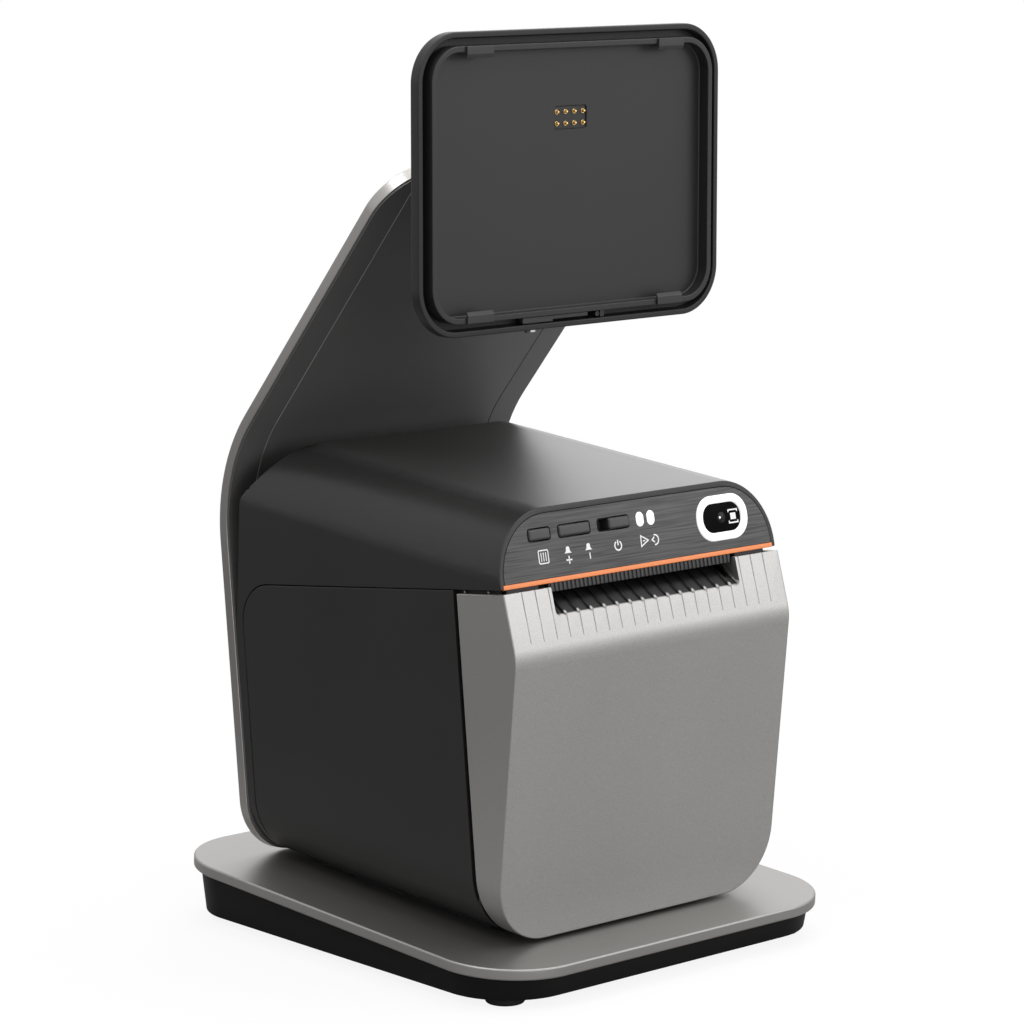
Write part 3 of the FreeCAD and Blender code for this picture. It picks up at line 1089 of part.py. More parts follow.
def build_platen():
    outer_x = CARRIER_INNER_X + CARRIER_THICKNESS
    low_y = front_face(CARRIER_LOW_Z) + FRONT_WALL
    high_y = front_face(CARRIER_HIGH_Z) + FRONT_WALL
    across = CARRIER_BOSS_RADIUS * math.cos(math.radians(CARRIER_SLOPE))
    rise = CARRIER_BOSS_RADIUS * math.sin(math.radians(CARRIER_SLOPE))
    outline = [(low_y, CARRIER_LOW_Z), (PLATEN_Y + across, PLATEN_Z - rise),
               (PLATEN_Y - across, PLATEN_Z + rise), (high_y, CARRIER_HIGH_Z)]
    cheek = side_prism(outline, CARRIER_INNER_X, outer_x)
    cheek = cheek.fuse(rod_x(CARRIER_INNER_X, outer_x, PLATEN_Y, PLATEN_Z, CARRIER_BOSS_RADIUS))
    bush_hole = rod_x(-FAR, FAR, PLATEN_Y, PLATEN_Z, BUSH_OUTER_RADIUS)
    tie_y = high_y + TIE_SETBACK
    tie_z = CARRIER_HIGH_Z - TIE_DROP
    tie = box(-CARRIER_INNER_X, CARRIER_INNER_X, tie_y, tie_y + TIE_DEPTH, tie_z - TIE_HEIGHT, tie_z)
    carrier = cheek.fuse([mirrored(cheek), tie]).removeSplitter()
    add("platen_carrier", carrier.cut(bush_hole))
    bush = rod_x(CARRIER_INNER_X, outer_x, PLATEN_Y, PLATEN_Z, BUSH_OUTER_RADIUS)
    bush = bush.cut(rod_x(-FAR, FAR, PLATEN_Y, PLATEN_Z, PLATEN_SHAFT_RADIUS + RUNNING_CLEARANCE))
    add("platen_bushes", pair(bush))
    shaft = rod_x(-outer_x - SHAFT_LEFT_END, GEAR_LEFT_X + GEAR_WIDTH + SHAFT_GEAR_END,
                  PLATEN_Y, PLATEN_Z, PLATEN_SHAFT_RADIUS)
    add("platen_shaft", shaft)
    rubber = rod_x(-PLATEN_HALF_LENGTH, PLATEN_HALF_LENGTH, PLATEN_Y, PLATEN_Z, PLATEN_RADIUS)
    add("platen_roller", rubber.cut(shaft))
    add("platen_gear", gear(PLATEN_Y, PLATEN_Z, PLATEN_TEETH, IDLER_DIRECTION).cut(shaft))


# Drive gears
def gear(y, z, teeth, phase):
    """Straight-sided gear about X with one tooth at the given angle from +Y toward +Z."""
    pitch = 360.0 / teeth
    root = GEAR_MODULE * (teeth / 2 - TOOTH_ROOT)
    tip = GEAR_MODULE * (teeth / 2 + TOOTH_TIP)
    corners = [(-TOOTH_ROOT_SHARE, root), (-TOOTH_TIP_SHARE, tip),
               (TOOTH_TIP_SHARE, tip), (TOOTH_ROOT_SHARE, root)]
    outline = []
    for tooth in range(teeth):
        middle = phase + tooth * pitch
        for share, radius in corners:
            angle = math.radians(middle + share * pitch)
            outline.append((y + radius * math.cos(angle), z + radius * math.sin(angle)))
    return side_prism(outline, GEAR_LEFT_X, GEAR_LEFT_X + GEAR_WIDTH)


def gear_partner(y, z, teeth, other_teeth, direction):
    reach = GEAR_MODULE * (teeth + other_teeth) / 2
    angle = math.radians(direction)
    return y + reach * math.cos(angle), z + reach * math.sin(angle)


def build_mechanism():
    bar = box(-TEAR_BAR_HALF_WIDTH, TEAR_BAR_HALF_WIDTH, -TEAR_BAR_HEIGHT, 0,
              -TEAR_BAR_SETBACK - TEAR_BAR_THICKNESS, -TEAR_BAR_SETBACK)
    rib_count = int(2 * TEAR_BAR_HALF_WIDTH / TEAR_RIB_PITCH)
    ribs = []
    for index in range(rib_count):
        x = (index - (rib_count - 1) / 2) * TEAR_RIB_PITCH
        ribs.append(box(x - TEAR_RIB_WIDTH / 2, x + TEAR_RIB_WIDTH / 2, -TEAR_BAR_HEIGHT, 0,
                        -TEAR_BAR_SETBACK, -TEAR_BAR_SETBACK + TEAR_RIB_DEPTH))
    add("tear_bar", placed(bar.fuse(ribs).removeSplitter(), FASCIA))

    head_frame = FreeCAD.Placement(V(0, PLATEN_Y, PLATEN_Z), FreeCAD.Rotation(X_AXIS, HEAD_ANGLE - 90))
    face = PLATEN_RADIUS + HEAD_PAPER_GAP
    sink_face = face + HEAD_PLATE_THICKNESS
    head = box(-HEAD_HALF_WIDTH, HEAD_HALF_WIDTH, -HEAD_HALF_HEIGHT, HEAD_HALF_HEIGHT, face, sink_face)
    sink = box(-FRAME_INNER_X, FRAME_INNER_X, -HEAD_HALF_HEIGHT, HEAD_HALF_HEIGHT + HEAT_SINK_OVERHANG,
               sink_face, sink_face + HEAT_SINK_THICKNESS)
    add("print_head", placed(head, head_frame))
    add("heat_sink", placed(sink, head_frame))

    outer_x = FRAME_INNER_X + FRAME_SHEET
    idler_y, idler_z = gear_partner(PLATEN_Y, PLATEN_Z, PLATEN_TEETH, IDLER_TEETH, IDLER_DIRECTION)
    pinion_y, pinion_z = gear_partner(idler_y, idler_z, IDLER_TEETH, PINION_TEETH, PINION_DIRECTION)
    idler_phase = IDLER_DIRECTION + 180 + 180.0 / IDLER_TEETH
    lag = (PINION_DIRECTION - idler_phase) % (360.0 / IDLER_TEETH)
    pinion_phase = PINION_DIRECTION + 180 + lag * IDLER_TEETH / PINION_TEETH + 180.0 / PINION_TEETH
    gear_right = GEAR_LEFT_X + GEAR_WIDTH
    pin_end = gear_right + GEAR_END_GAP
    idler_pin = rod_x(FRAME_INNER_X, pin_end, idler_y, idler_z, GEAR_PIN_RADIUS)
    pin_head = rod_x(pin_end, pin_end + GEAR_PIN_HEAD_LENGTH, idler_y, idler_z, GEAR_PIN_HEAD_RADIUS)
    idler_bore = rod_x(0, FAR, idler_y, idler_z, GEAR_PIN_RADIUS + RUNNING_CLEARANCE)
    add("idler_gear", gear(idler_y, idler_z, IDLER_TEETH, idler_phase).cut(idler_bore))
    add("idler_pin", idler_pin.fuse(pin_head).removeSplitter())
    motor_shaft = rod_x(FRAME_INNER_X + MOTOR_END_GAP, gear_right, pinion_y, pinion_z, GEAR_PIN_RADIUS)
    pinion = gear(pinion_y, pinion_z, PINION_TEETH, pinion_phase)
    add("motor_pinion", pinion.fuse(motor_shaft).removeSplitter())
    add("feed_motor", rod_x(FRAME_INNER_X - MOTOR_LENGTH, FRAME_INNER_X, pinion_y, pinion_z, MOTOR_RADIUS))

    plate = box(FRAME_INNER_X, outer_x, FRAME_FRONT_Y, FRAME_REAR_Y, FRAME_LOW_Z, FRAME_HIGH_Z)
    bridge = box(-outer_x, outer_x, FRAME_TOP_FRONT_Y, FRAME_REAR_Y, FRAME_HIGH_Z, FRAME_HIGH_Z + FRAME_SHEET)
    shaft_hole = rod_x(0, FAR, pinion_y, pinion_z, MOTOR_SHAFT_HOLE_RADIUS)
    add("mech_frame", plate.fuse([mirrored(plate), bridge]).removeSplitter().cut([idler_pin, shaft_hole]))

    outer = BIN_RADIUS + BIN_WALL
    bin_end = BIN_HALF_WIDTH + BIN_WALL
    lower_half = box(-FAR, FAR, -FAR, FAR, -FAR, BIN_Z)
    trough = rod_x(-bin_end, bin_end, BIN_Y, BIN_Z, outer)
    foot = box(-bin_end, bin_end, BIN_Y - BIN_FOOT_HALF_DEPTH, BIN_Y + BIN_FOOT_HALF_DEPTH,
               BODY_BOTTOM_Z + BODY_WALL, BIN_Z - BIN_RADIUS)
    hollow = rod_x(-BIN_HALF_WIDTH, BIN_HALF_WIDTH, BIN_Y, BIN_Z, BIN_RADIUS)
    loading_way = box(-FAR, FAR, -FAR, BIN_Y, BIN_FRONT_Z, FAR)
    add("paper_bin", trough.common(lower_half).fuse(foot).cut([hollow, loading_way]).removeSplitter())
    board_back = SKIN_THICKNESS + REAR_WALL + BODY_BOSS_LENGTH
    board_half = BODY_SCREW_X + MAIN_BOARD_MARGIN
    board_low = BODY_SCREW_LOW - MAIN_BOARD_MARGIN
    board_high = BODY_SCREW_HIGH + MAIN_BOARD_MARGIN
    board = box(-board_half, board_half, board_low, board_high, board_back, board_back + BOARD_THICKNESS)
    add("main_board", placed(board, ARM_LOW))


# Tablet cradle
def groove_prism(inset, w0, w1):
    return rounded_prism(CRADLE_HALF_WIDTH - inset, CRADLE_HALF_HEIGHT - inset, CRADLE_CORNER - inset, w0, w1)


def pogo_prism(w0, w1):
    return box(POGO_X - POGO_HALF_WIDTH, POGO_X + POGO_HALF_WIDTH,
               POGO_V - POGO_HALF_HEIGHT, POGO_V + POGO_HALF_HEIGHT, w0, w1)


def pogo_pins():
    pins = []
    for column in range(POGO_COLUMNS):
        x = POGO_X + (column - (POGO_COLUMNS - 1) / 2) * POGO_PITCH_X
        for row in (-0.5, 0.5):
            pins.append((x, POGO_V + row * POGO_PITCH_V))
    return pins


def build_cradle():
    tray_inset = RIM_WIDTH + GROOVE_WIDTH
    axis = CRADLE.inverse().multVec(TILT_AXIS)
    rim = groove_prism(0, -CRADLE_RIM_DEPTH, 0)
    front_wire = rounded_wire(CRADLE_HALF_WIDTH, CRADLE_HALF_HEIGHT, CRADLE_CORNER, -CRADLE_RIM_DEPTH)
    back_wire = rounded_wire(CRADLE_BACK_HALF_WIDTH, CRADLE_BACK_HALF_HEIGHT, CRADLE_BACK_CORNER,
                             -CRADLE_BACK_DEPTH)
    back = Part.makeLoft([front_wire, back_wire], True, True)
    half = TILT_KNUCKLE_HALF_LENGTH
    knuckle = rod_x(-half, half, axis.y, axis.z, TILT_KNUCKLE_RADIUS)
    neck = box(-half, half, axis.y - TILT_KNUCKLE_RADIUS, axis.y + TILT_KNUCKLE_RADIUS,
               axis.z, -CRADLE_BACK_DEPTH)
    pogo_well = pogo_prism(POGO_BACK_W, 0)
    floor_v = -CRADLE_HALF_HEIGHT + RIM_WIDTH
    tab_right = LATCH_TAB_LEFT_X + LATCH_TAB_WIDTH
    tab_slot = box(LATCH_TAB_LEFT_X - LATCH_GROOVE_GAP, tab_right + LATCH_TRAVEL + LATCH_GROOVE_GAP,
                   -CRADLE_HALF_HEIGHT - CUT_MARGIN, floor_v + CUT_MARGIN,
                   -LATCH_TAB_BACK_W - LATCH_GROOVE_GAP, -LATCH_TAB_FRONT_W + LATCH_GROOVE_GAP)
    bore = rod_x(-FAR, FAR, axis.y, axis.z, TILT_PIN_RADIUS + RUNNING_CLEARANCE)
    shell = rim.fuse([back, knuckle, neck]).removeSplitter()
    shell = shell.cut([groove_prism(RIM_WIDTH, -GROOVE_DEPTH, CUT_MARGIN), pogo_well, tab_slot, bore])
    add("cradle_shell", placed(shell, CRADLE))
    recess = groove_prism(tray_inset + TRAY_LIP_WIDTH, TRAY_FLOOR_W, TRAY_PROUD + CUT_MARGIN)
    tray = groove_prism(tray_inset, -GROOVE_DEPTH, TRAY_PROUD).cut(recess)
    add("cradle_tray", placed(tray.cut(pogo_well), CRADLE))

    clips = []
    edge = CRADLE_HALF_HEIGHT - tray_inset
    clip_top = TRAY_PROUD + CLIP_PROUD
    clip_outline = [(edge, TRAY_PROUD), (edge, clip_top), (edge - CLIP_FACE, clip_top),
                    (edge - CLIP_FACE - CLIP_LEAD, TRAY_PROUD)]
    for sign_x in (-1, 1):
        for sign_v in (-1, 1):
            outline = [(sign_v * v, w) for v, w in clip_outline]
            left = sign_x * CLIP_X - CLIP_WIDTH / 2
            clips.append(side_prism(outline, left, left + CLIP_WIDTH))
    add("cradle_clips", placed(Part.makeCompound(clips), CRADLE))

    block = pogo_prism(POGO_BACK_W, POGO_FACE_W)
    pin_top = POGO_FACE_W + POGO_PIN_PROUD
    holes = [rod_w(x, v, POGO_BACK_W, 0, POGO_PIN_RADIUS + RUNNING_CLEARANCE) for x, v in pogo_pins()]
    pins = [rod_w(x, v, pin_top - POGO_PIN_LENGTH, pin_top, POGO_PIN_RADIUS) for x, v in pogo_pins()]
    add("pogo_block", placed(block.cut(holes), CRADLE))
    add("pogo_pins", placed(Part.makeCompound(pins), CRADLE))

    latch_low = floor_v + LATCH_GROOVE_GAP
    latch = box(LATCH_LEFT_X, LATCH_RIGHT_X, latch_low, floor_v + GROOVE_WIDTH - LATCH_GROOVE_GAP,
                -LATCH_BACK_W, -LATCH_FRONT_W)
    tab = box(LATCH_TAB_LEFT_X, tab_right, -CRADLE_HALF_HEIGHT - LATCH_TAB_PROUD, latch_low,
              -LATCH_TAB_BACK_W, -LATCH_TAB_FRONT_W)
    slit = box(LATCH_SLIT_LEFT_X, LATCH_RIGHT_X + CUT_MARGIN, floor_v, latch_low + LATCH_SLIT_HEIGHT,
               -GROOVE_DEPTH, CUT_MARGIN)
    add("release_latch", placed(latch.fuse(tab).removeSplitter().cut(slit), CRADLE))
    peg = rod_w(LATCH_PEG_X, floor_v + GROOVE_WIDTH / 2, -GROOVE_DEPTH, -LATCH_FRONT_W, LATCH_PEG_RADIUS)
    stop = box(LATCH_STOP_LEFT_X, LATCH_STOP_LEFT_X + LATCH_STOP_WIDTH, latch_low,
               floor_v + GROOVE_WIDTH - LATCH_GROOVE_GAP, -GROOVE_DEPTH, -LATCH_FRONT_W)
    add("latch_peg", placed(Part.makeCompound([peg, stop]), CRADLE))
    build_tilt_bracket()


def build_tilt_bracket():
    axis = TILT_AXIS
    foot = TILT_FOOT

    def outline(corners):
        return [(corner.y, corner.z) for corner in corners]

    lug_x = TILT_KNUCKLE_HALF_LENGTH + TILT_LUG_GAP
    span = HIGH_UP * TILT_BASE_HALF_LENGTH
    rise = HIGH_OUT * TILT_BASE_THICKNESS
    ear = HIGH_UP * TILT_KNUCKLE_RADIUS
    base = side_prism(outline([foot - span, foot + span, foot + span + rise, foot - span + rise]),
                      -TILT_BASE_HALF_WIDTH, TILT_BASE_HALF_WIDTH)
    lug_outline = outline([foot - ear, foot + ear, axis + ear, axis - ear])
    lug = side_prism(lug_outline, lug_x, lug_x + TILT_LUG_THICKNESS)
    lug = lug.fuse(rod_x(lug_x, lug_x + TILT_LUG_THICKNESS, axis.y, axis.z, TILT_KNUCKLE_RADIUS))
    screws = tilt_screws()
    pin = rod_x(-lug_x - TILT_LUG_THICKNESS, lug_x + TILT_LUG_THICKNESS, axis.y, axis.z, TILT_PIN_RADIUS)
    bracket = base.fuse([lug, mirrored(lug)]).removeSplitter()
    add("tilt_bracket", bracket.cut(screws + [pin]))
    add("tilt_pin", pin)
    add("tilt_screws", Part.makeCompound(screws))


build_base()
build_arm()
build_body()
build_mechanism()
build_cradle()
os.makedirs("parts", exist_ok=True)
for name, shape in NODES.items():
    shape.exportStep("parts/" + name + ".step")
    print(name, len(shape.Solids), round(shape.Volume, 1), shape.isValid())
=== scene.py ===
# %% [markdown]
# # A receipt printer on a stand, dressed in Blender
# The printer, its bent stand and its tablet cradle were drawn as solids first. They arrive here as a fixed
# frame in metres, with z = 0 on the table and the printer facing -Y. This lesson leaves every solid where it
# is, gives each one the finish of the real piece, and rebuilds the pieces whose small roundings catch the
# light. A solid modeller's edges are perfectly sharp, and real moulded or cut edges never are.

# %% Load the solids
import json
import math
import bmesh
import bpy
import numpy as np
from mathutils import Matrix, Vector

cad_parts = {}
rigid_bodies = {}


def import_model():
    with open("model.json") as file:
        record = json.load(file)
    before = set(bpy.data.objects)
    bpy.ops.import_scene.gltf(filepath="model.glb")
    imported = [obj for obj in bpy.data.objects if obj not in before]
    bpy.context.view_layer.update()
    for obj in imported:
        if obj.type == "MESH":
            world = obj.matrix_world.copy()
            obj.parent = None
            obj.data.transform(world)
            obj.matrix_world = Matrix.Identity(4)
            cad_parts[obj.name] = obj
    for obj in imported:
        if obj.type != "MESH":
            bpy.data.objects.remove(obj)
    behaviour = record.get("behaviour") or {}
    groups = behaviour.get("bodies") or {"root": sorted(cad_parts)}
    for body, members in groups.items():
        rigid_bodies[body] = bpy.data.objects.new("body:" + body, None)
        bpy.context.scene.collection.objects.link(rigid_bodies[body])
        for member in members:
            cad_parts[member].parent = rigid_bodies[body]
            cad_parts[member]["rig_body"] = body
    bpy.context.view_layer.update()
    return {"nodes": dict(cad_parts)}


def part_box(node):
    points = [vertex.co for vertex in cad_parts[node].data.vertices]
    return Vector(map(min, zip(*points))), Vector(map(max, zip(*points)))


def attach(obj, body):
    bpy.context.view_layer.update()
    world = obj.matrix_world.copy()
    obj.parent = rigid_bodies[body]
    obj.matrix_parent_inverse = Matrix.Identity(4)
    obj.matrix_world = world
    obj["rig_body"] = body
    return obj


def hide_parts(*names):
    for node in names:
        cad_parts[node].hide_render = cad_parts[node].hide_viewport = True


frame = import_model()

# %% [markdown]
# ## The camera
# The photograph is a product picture taken with a long lens from the printer's front left, a little above
# the table. A long lens keeps the sides almost parallel, so the lens matters as much as the place. Both were
# worked out from edges of the object, and the camera has no roll and no shift.

# %% Camera
CAMERA_PLACE = Vector((-0.921634, -1.02859, 0.379166))
CAMERA_AZIMUTH = math.radians(-42.004)
CAMERA_ELEVATION = math.radians(9.407)
LENS_MM = 138.57
SENSOR_MM = 36.0

backward = Vector((math.sin(CAMERA_AZIMUTH) * math.cos(CAMERA_ELEVATION),
                   -math.cos(CAMERA_AZIMUTH) * math.cos(CAMERA_ELEVATION),
                   math.sin(CAMERA_ELEVATION)))
camera_data = bpy.data.cameras.new("product_view")
camera_data.sensor_width = SENSOR_MM
camera_data.lens = LENS_MM
camera = bpy.data.objects.new("product_view", camera_data)
camera.location = CAMERA_PLACE
camera.rotation_mode = "QUATERNION"
camera.rotation_quaternion = (-backward).to_track_quat("-Z", "Y")
bpy.context.scene.collection.objects.link(camera)
bpy.context.scene.camera = camera
bpy.context.scene.view_settings.view_transform = "Standard"
print("camera", tuple(round(x, 3) for x in camera.location))

# %% [markdown]
# ## Shader sockets that behave like numbers
# A finish is a small sum: a base value plus some grain, times a mask. Wiring Math nodes by hand hides that
# sum, so a thin class wraps a socket and lets Python's own operators add the nodes. Every other kind of node
# comes from one method, which sets the node's settings first and then fills or links its sockets.

# %% Socket and shader classes
class Socket:
    """A shader output that can stand in a sum; each operator adds one Math node to its tree."""

    def __init__(self, shader, output):
        self.shader = shader
        self.output = output

    def combine(self, operation, first, second):
        """One Math node between two values, either of which may be a plain number."""
        return self.shader.node("ShaderNodeMath", {"operation": operation}, {0: first, 1: second})

    def __add__(self, other):
        return self.combine("ADD", self, other)

    def __radd__(self, other):
        return self.combine("ADD", other, self)

    def __sub__(self, other):
        return self.combine("SUBTRACT", self, other)

    def __rsub__(self, other):
        return self.combine("SUBTRACT", other, self)

    def __mul__(self, other):
        return self.combine("MULTIPLY", self, other)

    def __rmul__(self, other):
        return self.combine("MULTIPLY", other, self)

    def __gt__(self, other):
        return self.combine("GREATER_THAN", self, other)

    def __lt__(self, other):
        return self.combine("LESS_THAN", self, other)


class Shader:
    """A node tree with one way to add a node, and short names for the patterns that most finishes use."""

    def __init__(self, tree):
        self.tree = tree

    def node(self, kind, settings, sockets, output=0):
        """Adds a node, applies its settings, then fills each socket with a value or a link."""
        made = self.tree.nodes.new(kind)
        for name, value in settings.items():
            setattr(made, name, value)
        for key, value in sockets.items():
            if isinstance(value, Socket):
                self.tree.links.new(value.output, made.inputs[key])
            else:
                made.inputs[key].default_value = value
        return Socket(self, made.outputs[output])

    def place(self, stretch=(1, 1, 1)):
        """Object coordinates in metres, stretched for a pattern."""
        here = self.node("ShaderNodeTexCoord", {}, {}, "Object")
        return self.node("ShaderNodeMapping", {}, {"Vector": here, "Scale": stretch})

    def axes(self, letters):
        """The object coordinates that the letters name, one value each."""
        here = self.place()
        return [self.node("ShaderNodeSeparateXYZ", {}, {0: here}, letter) for letter in letters]

    def noise(self, scale, detail=2.0, stretch=(1, 1, 1)):
        """Cloudy pattern from 0 to 1, with scale features in each metre."""
        place = self.place(stretch)
        return self.node("ShaderNodeTexNoise", {}, {"Vector": place, "Scale": scale, "Detail": detail})

    def ramp(self, value, low, high):
        """Stretches the part of a pattern between low and high to 0 to 1."""
        return self.node("ShaderNodeMapRange", {}, {0: value, 1: low, 2: high, 3: 0.0, 4: 1.0})

    def mix(self, share, first, second):
        """Goes from the first colour to the second as share goes from 0 to 1."""
        return self.node("ShaderNodeMix", {"data_type": "RGBA"}, {0: share, 6: first, 7: second}, 2)

    def bump(self, height, depth):
        """A surface direction that rises and falls by depth metres where height goes from 0 to 1."""
        return self.node("ShaderNodeBump", {}, {"Height": height, "Distance": depth, "Strength": 1.0})


def finish(name, constants):
    """A new material; constants go straight on to the Principled shader's own sockets."""
    material = bpy.data.materials.new(name)
    material.use_nodes = True
    shader = Shader(material.node_tree)
    shader.material = material
    shader.surface = material.node_tree.nodes["Principled BSDF"]
    for key, value in constants.items():
        shader.surface.inputs[key].default_value = value
    return shader


def paint(shader, **links):
    """Links patterns to the Principled sockets named by the keywords, such as Base_Color."""
    for key, value in links.items():
        shader.tree.links.new(value.output, shader.surface.inputs[key.replace("_", " ")])
    return shader.material


def speckled(name, constants, pattern, dark, light, roughness, swing, depth=0.0):
    """A finish whose colour and gloss follow one cloudy pattern, and its surface too where it has a depth."""
    shader = finish(name, constants)
    cloud = shader.noise(*pattern)
    if depth:
        paint(shader, Normal=shader.bump(cloud, depth))
    return paint(shader, Base_Color=shader.mix(cloud, dark, light), Roughness=roughness + swing * cloud)


def grey(value, warm=0.0):
    """A grey with a little more red and less blue when warm is above zero."""
    return (value * (1 + warm), value, value * (1 - warm), 1.0)


print("shader classes ready")

# %% [markdown]
# ## The studio
# The object stands on a seamless sweep under soft lamps, and the picture's background is pure white. White
# seen by the camera, and by polished or clear surfaces, is separate from the light that falls on the object:
# the Light Path node tells the world and the floor which kind of ray is asking. The floor fades to that white
# with distance, and near the object it stays partly a lit surface, so the object's shadow stays on it. Behind
# the object's left, where its shadow falls, the floor is painted dark grey for every ray but the camera's:
# painted shade that darkens the reflections in the object's left edges and gives them depth.

# %% Studio floor, world and lamps
FLOOR_REACH = 40.0
FLOOR_DROP = 0.0002
PAPER_GREYS = (0.44, 0.48)
# The grey of the painted shade on the floor behind the object's left.
PAINTED_SHADE_GREY = 0.05
SEEN_GREY = 0.90
SHADOW_FADE = (0.2, 0.6)
SHADOW_SHARE = 0.11
MIRROR_FADE = (0.95, 3.8)
# How far the painted shade on the floor fades in, toward the object's left and back.
PAINTED_SHADE_FADE = (0.05, 0.35)
WORLD_FILL = 0.42


def ray_kind(shader, kind):
    """1 for rays of one kind, such as Camera, and 0 for the rest."""
    return shader.node("ShaderNodeLightPath", {}, {}, "Is " + kind + " Ray")


world = bpy.data.worlds.new("studio")
world.use_nodes = True
bpy.context.scene.world = world
sky = Shader(world.node_tree)
seen = ray_kind(sky, "Camera") + ray_kind(sky, "Glossy") + ray_kind(sky, "Transmission")
strength = WORLD_FILL + (1 - WORLD_FILL) * seen.combine("MINIMUM", seen, 1.0)
sky_background = world.node_tree.nodes["Background"]
sky_background.inputs["Color"].default_value = (1.0, 1.0, 1.0, 1.0)
world.node_tree.links.new(strength.output, sky_background.inputs["Strength"])

floor_mesh = bpy.data.meshes.new("studio_floor")
floor_corners = FLOOR_REACH * np.array([[-1, -1, 0], [1, -1, 0], [1, 1, 0], [-1, 1, 0]])
floor_mesh.from_pydata(floor_corners - [0, 0, FLOOR_DROP], [], [[0, 1, 2, 3]])
floor = bpy.data.objects.new("studio_floor", floor_mesh)
bpy.context.scene.collection.objects.link(floor)
sweep = finish("studio_sweep", {"Roughness": 0.9, "Specular IOR Level": 0.0})
by_camera = ray_kind(sweep, "Camera")
by_mirror = ray_kind(sweep, "Glossy") + ray_kind(sweep, "Transmission")
paper = sweep.noise(40, 3)
grey_paper = sweep.mix(paper, *(grey(value) for value in PAPER_GREYS))
across, along = sweep.axes("XY")
# Painted shade: behind the object's left, where its shadow falls, the floor is dark grey for every ray but
# the camera's.
painted_shade_mask = sweep.ramp(along - across, *PAINTED_SHADE_FADE) * sweep.ramp(0 - across, *PAINTED_SHADE_FADE)
paper_with_painted_shade = sweep.mix(painted_shade_mask, grey_paper, grey(PAINTED_SHADE_GREY))
paint(sweep, Base_Color=sweep.mix(by_camera, paper_with_painted_shade, grey(SEEN_GREY)))
away = sweep.node("ShaderNodeVectorMath", {"operation": "LENGTH"}, {0: sweep.place()}, "Value")
far_share = sweep.ramp(away, *SHADOW_FADE)
camera_share = 1 - SHADOW_SHARE + SHADOW_SHARE * far_share
mirror_share = sweep.ramp(away, *MIRROR_FADE)
white_share = by_camera * camera_share + by_mirror * mirror_share
glow = sweep.node("ShaderNodeEmission", {}, {"Color": grey(1.0), "Strength": 1.0})
lit = Socket(sweep, sweep.surface.outputs[0])
both = sweep.node("ShaderNodeMixShader", {}, {0: white_share, 1: lit, 2: glow})
sweep.tree.links.new(both.output, sweep.tree.nodes["Material Output"].inputs["Surface"])
floor_mesh.materials.append(sweep.material)


def soft_lamp(name, place, aim, width, height, watts):
    """A rectangular softbox at place, turned to shine on aim."""
    data = bpy.data.lights.new(name, "AREA")
    data.shape = "RECTANGLE"
    data.size = width
    data.size_y = height
    data.energy = watts
    lamp = bpy.data.objects.new(name, data)
    lamp.location = place
    lamp.rotation_mode = "QUATERNION"
    lamp.rotation_quaternion = (Vector(aim) - Vector(place)).to_track_quat("-Z", "Y")
    lamp.visible_camera = False
    bpy.context.scene.collection.objects.link(lamp)


# Each lamp's place, the point that it shines on, its width and height in metres, and its power in watts.
LAMPS = {
    "overhead_softbox": ((0.4, -0.1, 1.7), (0.0, 0.0, 0.15), 2.0, 1.5, 23.0),
    "front_right_softbox": ((1.35, -1.5, 0.86), (0.0, -0.05, 0.12), 1.1, 0.9, 9.8),
    "back_right_softbox": ((1.4, 1.5, 0.85), (0.0, 0.0, 0.15), 1.2, 0.8, 3.0),
    "top_left_softbox": ((-1.22, 0.0, 1.88), (-0.07, 0.03, 0.25), 0.7, 0.7, 13.0),
    "front_fill": ((-0.2, -1.8, 0.32), (0.0, 0.0, 0.2), 1.0, 0.6, 5.0),
}
for lamp_name, lamp_settings in LAMPS.items():
    soft_lamp(lamp_name, *lamp_settings)
print("studio ready")

# %% [markdown]
# ## Moulded plastics
# The housings are charcoal ABS from a spark-eroded mould, which leaves a fine, even, matt grain of about a
# third of a millimetre. Three things make plastic look moulded and not painted: that grain in the bump, a
# slow drift in its gloss where hands and the mould differ, and almost no drift in its colour. The buttons,
# the skirt, the gears and the clips share the recipe with other numbers. The roof shines more than the sides
# of the same moulding, because its mould was polished there, so a clear coat grows where it faces up.

# %% Moulded plastic finishes
FINISHES = {}
DRIFT_PER_METRE = 26
GRAIN_SHARE = 0.55
POLISH_BLUR = 0.52
POLISH_FADE = (0.93, 0.995)


def moulded(slot, warmth, dark, light, roughness, grain_per_metre, grain_depth, specular, polish=0.0):
    """Plastic whose colour, gloss and surface follow one fine grain and one slow drift. A polish is a clear
    coat that grows as the surface turns upward."""
    shader = finish(slot, {"Specular IOR Level": specular, "IOR": 1.5, "Coat Roughness": POLISH_BLUR})
    grain = shader.noise(grain_per_metre, 2)
    drift = shader.noise(DRIFT_PER_METRE, 3)
    cloud = grain * GRAIN_SHARE + drift * (1 - GRAIN_SHARE)
    colour = shader.mix(cloud, grey(dark, warmth), grey(light, warmth))
    gloss = roughness - 0.05 + 0.06 * grain + 0.05 * drift
    FINISHES[slot] = paint(shader, Base_Color=colour, Roughness=gloss, Normal=shader.bump(grain, grain_depth))
    if polish:
        facing = shader.node("ShaderNodeTexCoord", {}, {}, "Normal")
        upward = shader.node("ShaderNodeSeparateXYZ", {}, {0: facing}, "Z")
        paint(shader, Coat_Weight=polish * shader.ramp(upward, *POLISH_FADE))


